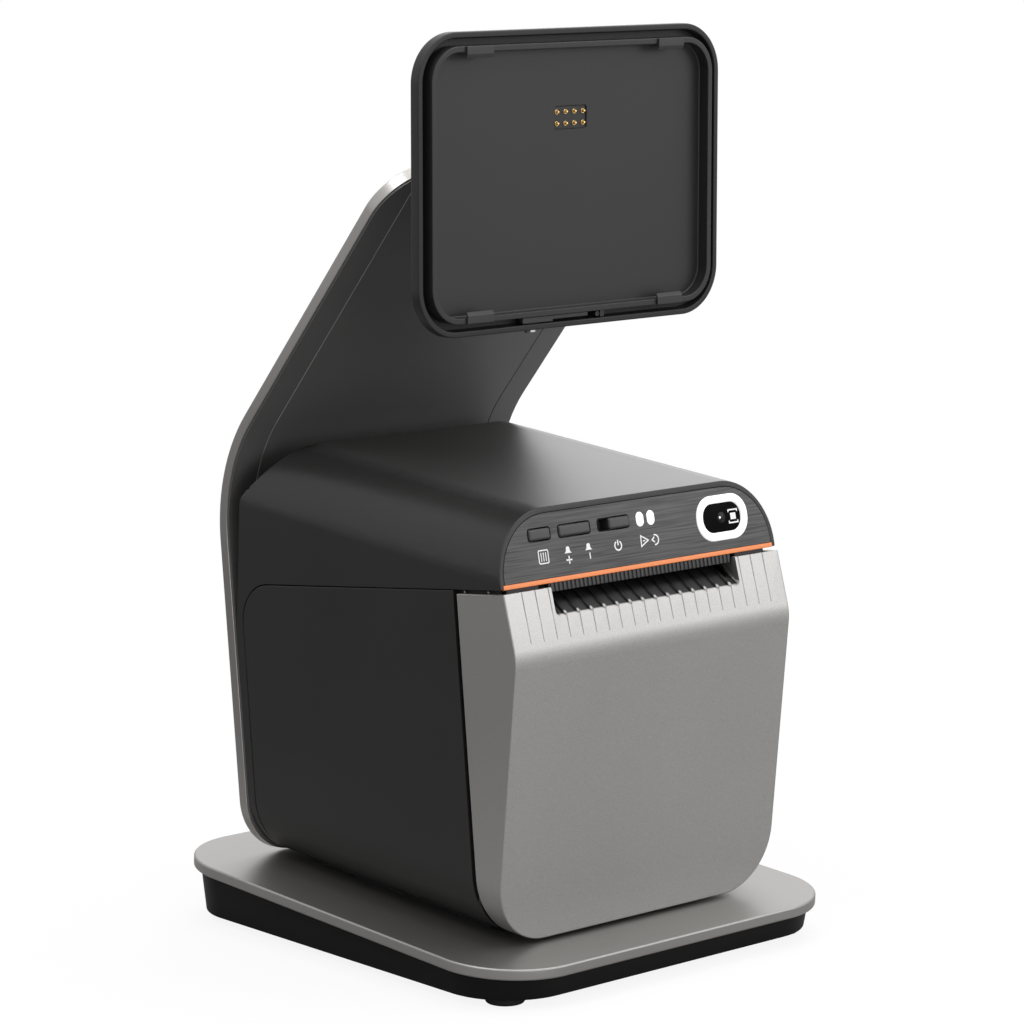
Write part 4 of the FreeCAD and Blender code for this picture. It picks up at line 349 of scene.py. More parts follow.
# Warmth, darkest and lightest grey, roughness, grain per metre, grain depth in metres, specular and polish.
PLASTICS = {
    "charcoal_plastic": (0.01, 0.0125, 0.0215, 0.44, 2600, 0.000010, 0.30),
    # The roof's charcoal is a lighter copy of the housing's: painted light for the roof, which lies in the
    # shade of the arm.
    "roof_charcoal_painted_light": (0.01, 0.022, 0.032, 0.34, 2600, 0.000006, 0.26, 0.92),
    # The arm skin's charcoal is several times lighter than the housing's: painted light for the skin, which
    # faces down in the shade of the cradle.
    "arm_charcoal_painted_light": (0.01, 0.088, 0.120, 0.42, 2600, 0.000010, 0.35),
    "tray_charcoal": (0.01, 0.016, 0.024, 0.44, 2600, 0.000008, 0.36),
    "slot_black": (0.0, 0.014, 0.024, 0.42, 2400, 0.000008, 0.42),
    "skirt_plastic": (0.0, 0.006, 0.011, 0.50, 2200, 0.000012, 0.08),
    "black_plastic": (0.0, 0.010, 0.017, 0.48, 2400, 0.000010, 0.40),
    "button_plastic": (0.0, 0.020, 0.032, 0.38, 3000, 0.000006, 0.45),
    "clip_grey": (0.0, 0.021, 0.032, 0.42, 2600, 0.000008, 0.38),
    "latch_plastic": (0.0, 0.026, 0.038, 0.44, 2600, 0.000008, 0.45),
    "gear_plastic": (0.03, 0.62, 0.72, 0.40, 1800, 0.000005, 0.45),
    "bracket_black": (0.0, 0.012, 0.020, 0.55, 1100, 0.000025, 0.40),
}
for plastic, recipe in PLASTICS.items():
    moulded(plastic, *recipe)
OWN_FINISH = {"upper_cover": "roof_charcoal_painted_light", "arm_skin": "arm_charcoal_painted_light", "arm_cable_cover": "arm_charcoal_painted_light",
              "cradle_tray": "tray_charcoal", "tear_bar": "slot_black", "latch_peg": "slot_black",
              "stand_arm": "arm_aluminium"}
print("plastics", sorted(FINISHES))

# %% [markdown]
# ## Rubber
# Feet and the paper roller are black rubber. Rubber is rougher than plastic, takes dust, and scuffs on its
# high spots, so a coarse pale bloom lies over the fine grain.

# %% Rubber finishes
def rubber(slot, dark, light, bloom_share):
    """Matt black with a dusty bloom that follows a coarse cloud."""
    shader = finish(slot, {"Specular IOR Level": 0.30})
    grain = shader.noise(3200, 2)
    bloom = shader.ramp(shader.noise(140, 4), 0.5, 0.85) * bloom_share
    colour = shader.mix(grain * 0.4 + bloom, dark, light)
    FINISHES[slot] = paint(shader, Base_Color=colour, Roughness=0.68 + 0.14 * grain,
                           Normal=shader.bump(grain, 0.000014))


rubber("foot_rubber", grey(0.008), grey(0.030), 0.5)
rubber("platen_rubber", grey(0.012), grey(0.040), 0.4)
print("rubber ready")

# %% [markdown]
# ## Metals
# The stand is sheet aluminium, bead-blasted and anodised to a warm satin silver. Blasting leaves a fine
# random grain, so its reflections are wide but even. Screws and pins are plain steel with a turned or rolled
# line, and the contacts are gold over nickel. All are fully metallic, and only the grain differs.

# %% Metal finishes
def metal(slot, dark, light, roughness, grain_per_metre, grain_depth, stretch=(1, 1, 1)):
    """Bare metal; stretch draws the grain out into rolling or turning lines."""
    shader = finish(slot, {"Metallic": 1.0})
    grain = shader.noise(grain_per_metre, 2, stretch)
    drift = shader.noise(14, 3)
    colour = shader.mix(grain * 0.6 + drift * 0.4, dark, light)
    gloss = roughness - 0.06 + 0.08 * grain + 0.05 * drift
    FINISHES[slot] = paint(shader, Base_Color=colour, Roughness=gloss, Normal=shader.bump(grain, grain_depth))


# Darkest and lightest colour, roughness, grain per metre, grain depth in metres, and the grain's stretch.
METALS = {
    "satin_aluminium": (grey(0.25, 0.03), grey(0.32, 0.03), 0.45, 2800, 0.000005),
    "arm_aluminium": (grey(0.31, 0.03), grey(0.40, 0.03), 0.36, 2800, 0.000005),
    "sink_aluminium": (grey(0.55), grey(0.66), 0.34, 900, 0.000006, (0.05, 1, 1)),
    "steel": (grey(0.42), grey(0.54), 0.30, 1500, 0.000004, (1, 1, 0.2)),
    "ballast_steel": (grey(0.20, 0.05), grey(0.34, 0.05), 0.50, 400, 0.000020),
    "bronze": ((0.46, 0.28, 0.12, 1), (0.58, 0.37, 0.18, 1), 0.34, 1500, 0.000005),
    "gold": ((0.78, 0.52, 0.20, 1), (0.90, 0.66, 0.32, 1), 0.22, 2500, 0.000002),
}
for metal_name, recipe in METALS.items():
    metal(metal_name, *recipe)
print("metals ready")

# %% [markdown]
# ## Silver paint
# The front cover is dark plastic sprayed with a fine metallic lacquer. Tiny flakes lie almost flat in it, so
# it reflects like a rough metal, with a little sparkle, and the clear binder keeps it from looking like sheet
# metal. The spray doesn't reach into the paper slot, and there the cover is also painted near-black: painted
# shade for the deep slot. A point counts as inside when it lies between the slot's sides, above its lip and
# behind the sloping band that the slot is cut in.

# %% Silver cover finish
SLOT_HALF_WIDTH = 0.0432
SLOT_LIP = 0.1286
BAND_TOP_Y = -0.07306
BAND_TOP_Z = 0.13872
BAND_LEAN = math.radians(16.37)
SPRAY_AND_SHADE_REACH = 0.0005
SILVER_METAL = 0.82

silver = finish("silver_cover", {"Coat Weight": 0.05, "Coat Roughness": 0.3, "Specular IOR Level": 0.2})
flake = silver.noise(2600, 2)
cloud = silver.noise(11, 2)
across, along, height = silver.axes("XYZ")
behind = (along - BAND_TOP_Y) * math.cos(BAND_LEAN) - (height - BAND_TOP_Z) * math.sin(BAND_LEAN)
between = across.combine("ABSOLUTE", across, 0.0) < SLOT_HALF_WIDTH
# Inside the slot the cover is unsprayed and painted near-black, painted shade for the deep slot.
slot_bare_and_shaded = between * (height > SLOT_LIP) * silver.ramp(behind, SPRAY_AND_SHADE_REACH, 2 * SPRAY_AND_SHADE_REACH)
lacquer = silver.mix(flake * 0.75 + cloud * 0.25, grey(0.23, 0.02), grey(0.46, 0.02))
FINISHES["silver_cover"] = paint(
    silver,
    Base_Color=silver.mix(slot_bare_and_shaded, lacquer, grey(0.007)),
    Metallic=SILVER_METAL - SILVER_METAL * slot_bare_and_shaded,
    Roughness=0.37 + 0.12 * flake,
    Normal=silver.bump(flake, 0.000006))
print("silver cover ready")

# %% [markdown]
# ## The brushed fascia
# The control panel is a film with long horizontal brush lines. A noise drawn out along the panel's width
# gives streaks some 25 mm long and half a millimetre high. The same streaks vary the colour, the gloss and,
# very slightly, the surface.

# %% Fascia finish
film = finish("fascia_film", {"Metallic": 0.35, "Specular IOR Level": 0.5})
streak = film.noise(1500, 3, (0.025, 1, 1))
fine_streak = film.noise(3800, 2, (0.014, 1, 1))
brush = streak * 0.6 + fine_streak * 0.4
contrast = film.ramp(brush, 0.34, 0.66)
FINISHES["fascia_film"] = paint(
    film,
    Base_Color=film.mix(contrast, grey(0.012), grey(0.086)),
    Roughness=0.34 + 0.14 * brush,
    Normal=film.bump(brush, 0.000006))
print("fascia ready")

# %% [markdown]
# ## Colour accents, lamps, glass and ink
# A thin orange strip runs under the fascia. The two status lamps and the ring round the scanner are milky
# light guides: pale, soft inside, and glowing a little on their own. The scanner's window is smoked acrylic,
# nearly black and very smooth, and so is its lens. The signs are printed in white ink.

# %% Accent, light guide, window and ink finishes
FINISHES["accent_orange"] = speckled(
    "accent_orange", {"Specular IOR Level": 0.5, "Coat Weight": 0.2, "Coat Roughness": 0.2}, (1800, 2),
    (0.80, 0.20, 0.045, 1), (0.92, 0.29, 0.08, 1), 0.34, 0.1, 0.000004)
FINISHES["window_black"] = speckled(
    "window_black", {"Specular IOR Level": 0.02}, (700, 3), grey(0.001), grey(0.003), 0.07, 0.06)
LENS_GLASS = speckled(
    "lens_glass", {"Specular IOR Level": 0.12}, (1500, 2), grey(0.006), grey(0.016), 0.12, 0.1)
PRINT_WHITE = speckled(
    "printed_white", {"Specular IOR Level": 0.4}, (3500, 2), grey(0.88), grey(0.96), 0.45, 0.1)


def light_guide(slot, glow_strength):
    """Milky plastic that is brighter where its cloud of diffuser is thicker."""
    shader = finish(slot, {"Specular IOR Level": 0.4, "Emission Strength": glow_strength})
    milk = shader.noise(900, 3)
    colour = shader.mix(milk, grey(0.80), grey(0.92))
    FINISHES[slot] = paint(shader, Base_Color=colour, Emission_Color=colour, Roughness=0.30 + 0.15 * milk)


# light_pipe also colours the painted glint on the scanner's lens, so that glint glows too.
light_guide("light_pipe", 0.55)
light_guide("ring_white", 0.45)
print("accents ready")

# %% [markdown]
# ## Inside finishes
# The boards, the print head and its ceramic face show only through the slot, the sockets and the open front,
# but they are finished too. A board is green lacquer over copper tracks, drawn by a brick pattern. The head
# is glazed ceramic with one dark heater line.

# %% Board and ceramic finishes
board = finish("circuit_board", {"Specular IOR Level": 0.5})
track_sizes = {"Vector": board.place(), "Scale": 260.0, "Mortar Size": 0.09, "Mortar Smooth": 0.2}
tracks = board.node("ShaderNodeTexBrick", {"offset": 0.37, "squash": 0.6}, track_sizes, 1)
weave = board.noise(2400, 2)
FINISHES["circuit_board"] = paint(
    board,
    Base_Color=board.mix(tracks * 0.7 + weave * 0.2, (0.008, 0.060, 0.026, 1), (0.035, 0.150, 0.065, 1)),
    Roughness=0.30 + 0.18 * weave,
    Normal=board.bump(tracks, 0.00003))

ceramic = finish("head_ceramic", {"Specular IOR Level": 0.5, "Coat Weight": 0.5, "Coat Roughness": 0.08})
glaze = ceramic.noise(500, 3)
heater = ceramic.noise(300, 1, (0.01, 1, 1))
FINISHES["head_ceramic"] = paint(
    ceramic,
    Base_Color=ceramic.mix(ceramic.ramp(heater, 0.55, 0.6) * 0.5 + glaze * 0.2, grey(0.70, 0.04),
                           grey(0.16, 0.1)),
    Roughness=0.16 + 0.1 * glaze)

node_slot = {name: node.data.materials[0].name.split(".")[0] for name, node in frame["nodes"].items()}
for name, node in frame["nodes"].items():
    node.material_slots[0].material = FINISHES[OWN_FINISH.get(name, node_slot[name])]
print("finished slots", len(FINISHES))

# %% [markdown]
# ## Shapes as grids of numbers
# Most new pieces here are a closed outline carried through a few rows: a rounded rectangle that shrinks as it
# nears an edge makes the edge round. numpy works out all the points of a piece at once, as an array of rows
# by columns, and the quads between neighbours follow from counting.

# %% Grid and outline helpers
MM = 0.001
CORNER_STEPS = 18
EDGE_STEPS = 5
AXIS_GAP = 0.01


def grid_quads(rows, columns, rows_meet):
    """Corner numbers of the quads between neighbouring points; columns always go round."""
    down = np.arange(rows if rows_meet else rows - 1)
    first, second = np.meshgrid(down, np.arange(columns), indexing="ij")
    below = (first + 1) % rows * columns
    after = (second + 1) % columns
    here = first * columns
    return np.stack([here + second, here + after, below + after, below + second], axis=-1).reshape(-1, 4)


def skin_rows(rows, rows_meet=False):
    """Joins closed rows of points into a skin, and closes its two ends with one face each."""
    count, columns = rows.shape[:2]
    faces = grid_quads(count, columns, rows_meet).tolist()
    if not rows_meet:
        faces.append(list(range(columns)))
        faces.append(list(range((count - 1) * columns, count * columns)))
    return rows.reshape(-1, 3), faces


def together(shapes):
    """Several shapes as one, with the later ones' corner numbers moved up."""
    counts = [len(points) for points, faces in shapes]
    starts = np.concatenate([[0], np.cumsum(counts)[:-1]])
    faces = []
    for start, (points, own_faces) in zip(starts.tolist(), shapes):
        faces += [[corner + start for corner in face] for face in own_faces]
    return np.concatenate([points for points, own_faces in shapes]), faces


def rounded_loop(half_u, half_v, corner, steps=CORNER_STEPS):
    """Points round a rectangle: each corner is a quarter turn of a circle about its own centre."""
    quarter = np.repeat(np.arange(4) * math.pi / 2, steps)
    angle = quarter + np.tile(np.linspace(0, math.pi / 2, steps), 4)
    side_u = np.sign(np.cos(quarter + math.pi / 4))
    side_v = np.sign(np.sin(quarter + math.pi / 4))
    u = side_u * (half_u - corner) + corner * np.cos(angle)
    v = side_v * (half_v - corner) + corner * np.sin(angle)
    return np.stack([u, v], axis=-1)


def rounded_row(half_u, half_v, corner, w, steps=CORNER_STEPS, centre=(0, 0)):
    """A rounded rectangle at height w, as one row of points."""
    loop = rounded_loop(half_u, half_v, max(corner, 0.02), steps) + np.array(centre)
    return np.column_stack([loop, np.full(len(loop), w)])


def soft_edge(low, high, edge):
    """Insets and heights of a side wall whose two ends turn inwards along quarter circles."""
    angle = np.linspace(0, math.pi / 2, EDGE_STEPS)
    inset = edge * (1 - np.sin(angle))
    rise = edge * (1 - np.cos(angle))
    insets = np.concatenate([inset, inset[::-1]])
    heights = np.concatenate([low + rise, high - rise[::-1]])
    return insets, heights


def block(half_u, half_v, corner, low, high, edge, steps=CORNER_STEPS, centre=(0, 0)):
    """A rounded rectangle from low to high, with its rim rounded by edge at both ends."""
    rows = [rounded_row(half_u - inset, half_v - inset, corner - inset, height, steps, centre)
            for inset, height in zip(*soft_edge(low, high, edge))]
    return skin_rows(np.array(rows))


def turned(profile, sides=40, flats=None, meet=False):
    """Spins (radius, height) pairs about the w axis. A profile that reaches the axis stops a small gap short
    of it, where one face closes it. flats marks rows that are six-sided instead of round, and meet joins the
    last pair to the first, as a ring needs."""
    profile = np.array(profile, float)
    angle = np.linspace(0, 2 * math.pi, sides, endpoint=False)
    six_sided = math.cos(math.pi / 6) / np.cos((angle % (math.pi / 3)) - math.pi / 6)
    share = np.zeros(len(profile)) if flats is None else np.array(flats, float)
    factor = 1 + share[:, None] * (six_sided[None, :] - 1)
    radius = profile[:, :1] * factor
    height = np.repeat(profile[:, 1:2], sides, axis=1)
    rows = np.stack([radius * np.cos(angle), radius * np.sin(angle), height], axis=-1)
    return skin_rows(rows, meet)


print("shape helpers ready")

# %% [markdown]
# ## Frames to work in
# The printer, the arm and the cradle stand on a deck that drops 3 degrees toward the front, and the fascia
# and the cradle lean on top of that. Working in each piece's own flat frame keeps its numbers simple, in
# millimetres, and one matrix then carries the points to the table.

# %% Frames and pieces
def turn_x(degrees):
    """A turn about the x axis: y goes toward z."""
    angle = math.radians(degrees)
    matrix = np.eye(4)
    matrix[1:3, 1:3] = [[math.cos(angle), -math.sin(angle)], [math.sin(angle), math.cos(angle)]]
    return matrix


def shift(x, y, z):
    """A move without a turn."""
    matrix = np.eye(4)
    matrix[:3, 3] = (x, y, z)
    return matrix


BASE_TILT = 3.0
DECK_PLACE = (0, -0.10467, 19.1774)
FASCIA_LEAN = 14.9
FASCIA_PLACE = (0, -65.4, 124.2)
ARM_LEAN_BACK = 8.7
ARM_FOOT_Y = 63.6
DECK = shift(*DECK_PLACE) @ turn_x(BASE_TILT)
FASCIA = DECK @ shift(*FASCIA_PLACE) @ turn_x(90 - FASCIA_LEAN)
ARM_LOW = DECK @ shift(0, ARM_FOOT_Y, 0) @ turn_x(90 - ARM_LEAN_BACK)
TILT_Y = -6.0003
TILT_Z = 236.0059
CRADLE_AHEAD = 17.3
CRADLE_RISE = 17.6
CRADLE = DECK @ shift(0, TILT_Y - CRADLE_AHEAD, TILT_Z + CRADLE_RISE) @ turn_x(90 - BASE_TILT)
print("cradle's middle, mm", CRADLE[:3, 3].round(1).tolist())


def carried(shape, matrix):
    """A shape moved from its own frame, in millimetres, to the table frame, in metres."""
    points, faces = shape
    return (points @ matrix[:3, :3].T + matrix[:3, 3]) * MM, faces


def dress(name, mesh, material, body, stands_for, angle):
    """Makes a mesh a piece: smooth except across edges sharper than the angle, in degrees, with its finish,
    and riding on its body."""
    mesh.polygons.foreach_set("use_smooth", np.ones(len(mesh.polygons), bool))
    mesh.set_sharp_from_angle(angle=math.radians(angle))
    mesh.materials.append(material)
    piece = bpy.data.objects.new(name, mesh)
    bpy.context.scene.collection.objects.link(piece)
    piece.modifiers.new("even_shading", "WEIGHTED_NORMAL").keep_sharp = True
    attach(piece, body)
    if stands_for:
        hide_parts(stands_for)
    print(name, len(mesh.polygons), "faces")


def dress_as(node, mesh, angle):
    """Makes a mesh stand for one solid, on the same body and with the same finish."""
    solid = frame["nodes"][node]
    own = solid.material_slots[0].material
    dress(node + "_piece", mesh, own, solid["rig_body"], node, angle)


def closed_mesh(name, shape):
    """A mesh from points in metres, with its doubles merged and its faces turned outwards."""
    points, faces = shape
    mesh = bpy.data.meshes.new(name)
    mesh.from_pydata(points.tolist(), [], faces)
    work = bmesh.new()
    work.from_mesh(mesh)
    bmesh.ops.remove_doubles(work, verts=work.verts, dist=1e-7)
    bmesh.ops.recalc_face_normals(work, faces=work.faces)
    work.to_mesh(mesh)
    work.free()
    return mesh


SHADE_ANGLE = 40
SCREW_SHADE_ANGLE = 30
CRADLE_SHADE_ANGLE = 35
EASED_SHADE_ANGLE = 50


def added(name, shape, material, body):
    """A new piece that stands for no solid."""
    dress(name, closed_mesh(name, shape), material, body, None, SHADE_ANGLE)


def rebuilt(node, shape, angle=SHADE_ANGLE):
    """A new piece that stands for one solid."""
    dress_as(node, closed_mesh(node + "_piece", shape), angle)


# %% [markdown]
# ## Eased copies of the solids
# The big shells keep the solid's shape, with seams, slots and ribs, and mostly need their edges eased.
# A copy of the solid's triangles is merged into flat faces, and each sharp edge is replaced by a narrow
# rounded strip. The Bevel modifier would shrink every edge to suit the smallest, so the bevel is made on
# chosen edges directly, wide where fingers and light meet the edge and narrow elsewhere.

# %% Easing helper
SHARP = math.radians(28)
FLAT = math.radians(0.2)


def anywhere(edge):
    """Chooses every edge."""
    return True


def eased(node, *rounds, before=None):
    """Copies a solid and bevels its sharp edges: each round gives a width in mm, strips, and a test for
    edges. Before that, a step of the caller's may move the copy's points."""
    work = bmesh.new()
    work.from_mesh(frame["nodes"][node].data)
    bmesh.ops.remove_doubles(work, verts=work.verts, dist=1e-6)
    bmesh.ops.dissolve_limit(work, angle_limit=FLAT, verts=work.verts, edges=work.edges)
    if before:
        before(work)
    for width, strips, chosen in rounds:
        edges = [edge for edge in work.edges
                 if edge.is_manifold and edge.calc_face_angle() > SHARP and chosen(edge)]
        bmesh.ops.bevel(work, geom=edges, offset=width * MM, offset_type="OFFSET", segments=strips,
                        profile=0.5, affect="EDGES", clamp_overlap=False)
    mesh = bpy.data.meshes.new(node + "_eased")
    work.to_mesh(mesh)
    work.free()
    dress_as(node, mesh, EASED_SHADE_ANGLE)


def eased_all(sizes):
    """Eases every edge of each named solid by a width in mm, in a number of strips."""
    for node, (width, strips) in sizes.items():
        eased(node, (width, strips, anywhere))


print("edges count as sharp above", round(math.degrees(SHARP)), "degrees")

# %% [markdown]
# ## The stand's base
# The base is a thick satin plate with softly broken edges over a black moulded tray. The plate is a rounded
# rectangle carried through its thickness. The tray keeps its solid's shape, with the socket windows in its
# rear wall. Four turned rubber feet stick out below it.

# %% Base
PLATE_HALF = (83.25, 92.9, 29.0)
PLATE_THICKNESS = 4.0
PLATE_EDGE = 0.7
PLATE_STEPS = 40
plate = block(*PLATE_HALF, -PLATE_THICKNESS, 0.0, PLATE_EDGE, PLATE_STEPS)
rebuilt("base_plate", carried(plate, DECK))
eased_all({"base_skirt": (0.4, 2)})

FOOT_RADIUS = 6.75
foot_low, foot_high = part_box("base_feet")
foot_profile = [(AXIS_GAP, 0.5), (3.0, 0.5), (3.3, 0.4), (3.6, 0.05), (4.0, 0.0), (5.9, 0.0), (6.35, 0.12),
                (6.65, 0.4), (FOOT_RADIUS, 0.8), (FOOT_RADIUS, 3.2), (6.5, 3.45), (AXIS_GAP, 3.45)]
feet = [carried(turned(foot_profile), shift(x, y, 0))
        for x in (foot_low.x / MM + FOOT_RADIUS, foot_high.x / MM - FOOT_RADIUS)
        for y in (foot_low.y / MM + FOOT_RADIUS, foot_high.y / MM - FOOT_RADIUS)]
rebuilt("base_feet", together(feet))

# %% [markdown]
# ## The bent arm
# The arm is one plate, bent forward along a wide arc and cut with round corners. In its own flat pattern it
# is a tall rounded rectangle. Each row of points is a thin rounded slot as wide as the plate at that height.
# The rows then follow the bend: straight, along an arc, and straight again. Near each end the row narrows
# with the corner's circle and thins with the edge's own rounding.

# %% Arm
LEAN_BACK = math.radians(ARM_LEAN_BACK)
LEAN_FORWARD = math.radians(37.7)
BEND_RADIUS = 58.3
BEND_HEIGHT = 139.4
ARM_BOTTOM_Z = 1.1
ARM_TOP_Z = 256.8
ARM_HALF_WIDTH = 65.35
ARM_THICKNESS = 4.1
ARM_EDGE = 0.3
ARM_CORNER = 20.0
CORNER_ROWS = 26
RUN_ROWS = 70
RIM_ROWS = 6
RIM_STEPS = 5
bend_tangent = BEND_RADIUS * math.tan((LEAN_BACK + LEAN_FORWARD) / 2)
low_length = (BEND_HEIGHT - ARM_BOTTOM_Z) / math.cos(LEAN_BACK) - bend_tangent
bend_length = BEND_RADIUS * (LEAN_BACK + LEAN_FORWARD)
high_length = (ARM_TOP_Z - BEND_HEIGHT) / math.cos(LEAN_FORWARD) - bend_tangent
arm_length = low_length + bend_length + high_length
low_up = np.array([math.sin(LEAN_BACK), math.cos(LEAN_BACK)])
low_out = np.array([-math.cos(LEAN_BACK), math.sin(LEAN_BACK)])
bend_point = np.array([ARM_FOOT_Y + BEND_HEIGHT * math.tan(LEAN_BACK), BEND_HEIGHT])
bend_centre = bend_point - low_up * bend_tangent + low_out * BEND_RADIUS


def on_arm(along, out):
    """(y, z) of a point a distance along the arm's front face and out from it: the run before the bend is
    straight, the bend turns about its centre, and the run after it is straight again."""
    turn = np.clip(along - low_length, 0, bend_length) / BEND_RADIUS - LEAN_BACK
    straight = np.minimum(along - low_length, 0) + np.maximum(along - low_length - bend_length, 0)
    out_y, out_z = -np.cos(turn), -np.sin(turn)
    up_y, up_z = -np.sin(turn), np.cos(turn)
    y = bend_centre[0] - out_y * (BEND_RADIUS - out) + up_y * straight
    z = bend_centre[1] - out_z * (BEND_RADIUS - out) + up_z * straight
    return y, z


def quarter_circle(distance, radius):
    """What a rounding takes away at a distance in from its start, as a number below zero: a whole radius at
    the start and nothing a radius further on, along a quarter of a circle."""
    inside = np.clip(radius - distance, 0, radius)
    return np.sqrt(radius ** 2 - inside ** 2) - radius


def bent_plate(half_width, back, front, corner, edge, length):
    """Rows of thin slots along the arm; their width follows the corners and their thickness the edge."""
    at_corner = corner * (1 - np.cos(np.linspace(0, math.pi / 2, CORNER_ROWS)))
    at_edge = edge * (1 - np.cos(np.linspace(0, math.pi / 2, RIM_ROWS)))
    run = np.linspace(corner, length - corner, RUN_ROWS)
    along = np.concatenate([at_corner, at_edge, length - at_corner, length - at_edge, run])
    along = np.unique(np.round(along, 4))
    width = half_width + quarter_circle(along, corner) + quarter_circle(length - along, corner)
    thin = (front - back) / 2 + quarter_circle(along, edge) + quarter_circle(length - along, edge)
    rows = []
    for place, half, depth in zip(along, width, thin):
        loop = rounded_loop(half, depth, min(edge, depth), RIM_STEPS)
        y, z = on_arm(np.full(len(loop), place), loop[:, 1] + (front + back) / 2)
        rows.append(np.column_stack([loop[:, 0], y, z]))
    return skin_rows(np.array(rows))


arm = bent_plate(ARM_HALF_WIDTH, -ARM_THICKNESS, 0.0, ARM_CORNER, ARM_EDGE, arm_length)
rebuilt("stand_arm", carried(arm, DECK))
eased_all({"arm_skin": (0.1, 1), "arm_cable_cover": (0.1, 1)})
print("arm length along its face", round(arm_length, 1), "mm")

# %% [markdown]
# ## The seam highlight strip
# A hair-thin strip of bright metal runs in the seam round the arm's long centre panel. It is a painted
# highlight: it stands in for the light line along the seam's edge. Its face slopes away from the panel, so it
# catches light only from the side that it faces, and the far side's strip stays hidden. It is a
# four-cornered section carried along the arm: two rails, and one bar across the top.

# %% Seam highlight strip
PANEL_HALF_WIDTH = 53.5
PANEL_TOP_MARGIN = 4.5
SEAM_GAP = 0.3
HIGHLIGHT_STRIP_HIGH = 0.78
HIGHLIGHT_STRIP_LOW = 0.45
HIGHLIGHT_STRIP_ROOT = 0.05
HIGHLIGHT_STRIP_START = 6.0
HIGHLIGHT_STRIP_CLEARANCE = 0.02
HIGHLIGHT_STRIP_ROWS = 120
panel_end = arm_length - PANEL_TOP_MARGIN


def highlight_strip_corners(panel_edge):
    """(distance, height) of the section's corners: high beside the panel and low beside the skin."""
    inner = panel_edge + HIGHLIGHT_STRIP_CLEARANCE
    outer = panel_edge + SEAM_GAP - HIGHLIGHT_STRIP_CLEARANCE
    return (inner, HIGHLIGHT_STRIP_ROOT), (outer, HIGHLIGHT_STRIP_ROOT), (outer, HIGHLIGHT_STRIP_LOW), (inner, HIGHLIGHT_STRIP_HIGH)


def highlight_strip_rail(side):
    """The section carried up one side of the panel."""
    along = np.linspace(HIGHLIGHT_STRIP_START, panel_end + SEAM_GAP, HIGHLIGHT_STRIP_ROWS)
    lines = [np.column_stack([np.full(len(along), side * x), *on_arm(along, out)])
             for x, out in highlight_strip_corners(PANEL_HALF_WIDTH)]
    return skin_rows(np.stack(lines, axis=1))


def highlight_strip_bar():
    """The section carried across the top, from one rail to the other."""
    section = np.array([on_arm(np.array(along), out) for along, out in highlight_strip_corners(panel_end)])
    rows = [np.column_stack([np.full(len(section), x), section])
            for x in (-PANEL_HALF_WIDTH, PANEL_HALF_WIDTH)]
    return skin_rows(np.array(rows))


# Painted highlight: the strip's bright metal stands in for the light line along the seam's edge.
highlight_strip = together([highlight_strip_rail(-1), highlight_strip_rail(1), highlight_strip_bar()])
added("arm_seam_highlight_strip", carried(highlight_strip, DECK), FINISHES["sink_aluminium"], "printer")

# %% [markdown]
# ## Screws
# Four socket-head screws hold the printer to the arm, four smaller ones hold the cradle's bracket, and four
# close the base from below. A screw is a turned profile. Its hexagon socket is the same spin, with the inner
# rows changed from round to six-sided by the formula for a hexagon's edge.

# %% Screws
HEAD_EDGE = 0.35
EDGE_MIDDLE = 0.3
HEAD_FOOT_EDGE = 0.15
TIP_SHARE = 0.7
TIP_LENGTH = 0.5
KEY_MOUTH = 0.25
KEY_CHAMFER = 0.2
KEY_FLOOR_SHARE = 0.4
SCREW_SIDES = 48


def socket_screw(head_radius, head_height, shank_radius, key_radius, shank_length):
    """A cap screw along w: the shank runs down from w = 0 and the head stands on it."""
    floor = head_height * KEY_FLOOR_SHARE
    middle = HEAD_EDGE * EDGE_MIDDLE
    shank = [(AXIS_GAP, -shank_length), (shank_radius * TIP_SHARE, -shank_length),
             (shank_radius, -shank_length + TIP_LENGTH), (shank_radius, 0.0)]
    head = [(head_radius - HEAD_FOOT_EDGE, 0.0), (head_radius, HEAD_FOOT_EDGE),
            (head_radius, head_height - HEAD_EDGE), (head_radius - middle, head_height - middle),
            (head_radius - HEAD_EDGE, head_height), (key_radius + KEY_MOUTH, head_height)]
    key = [(key_radius, head_height - KEY_CHAMFER), (key_radius, floor), (AXIS_GAP, floor - KEY_CHAMFER)]
    flats = [0] * len(shank + head) + [1] * len(key)
    return turned(shank + head + key, SCREW_SIDES, flats)


# A screw's head radius, head height, shank radius and key radius.
ARM_SCREW = (3.6, 2.3, 2.0, 1.45)
TILT_SCREW = (2.4, 1.6, 1.25, 1.0)
BASE_SCREW = (2.9, 1.8, 1.5, 1.2)
SIDES = (-1, 1)

ARM_SCREW_LENGTH = 11.0
ARM_SCREW_X = 38.0
ARM_SCREW_UP = (34.0, 98.0)
flip = turn_x(180)
arm_screw = socket_screw(*ARM_SCREW, ARM_SCREW_LENGTH)
arm_screws = [carried(arm_screw, ARM_LOW @ shift(side * ARM_SCREW_X, up, -ARM_THICKNESS) @ flip)
              for side in SIDES for up in ARM_SCREW_UP]
rebuilt("arm_screws", together(arm_screws), SCREW_SHADE_ANGLE)

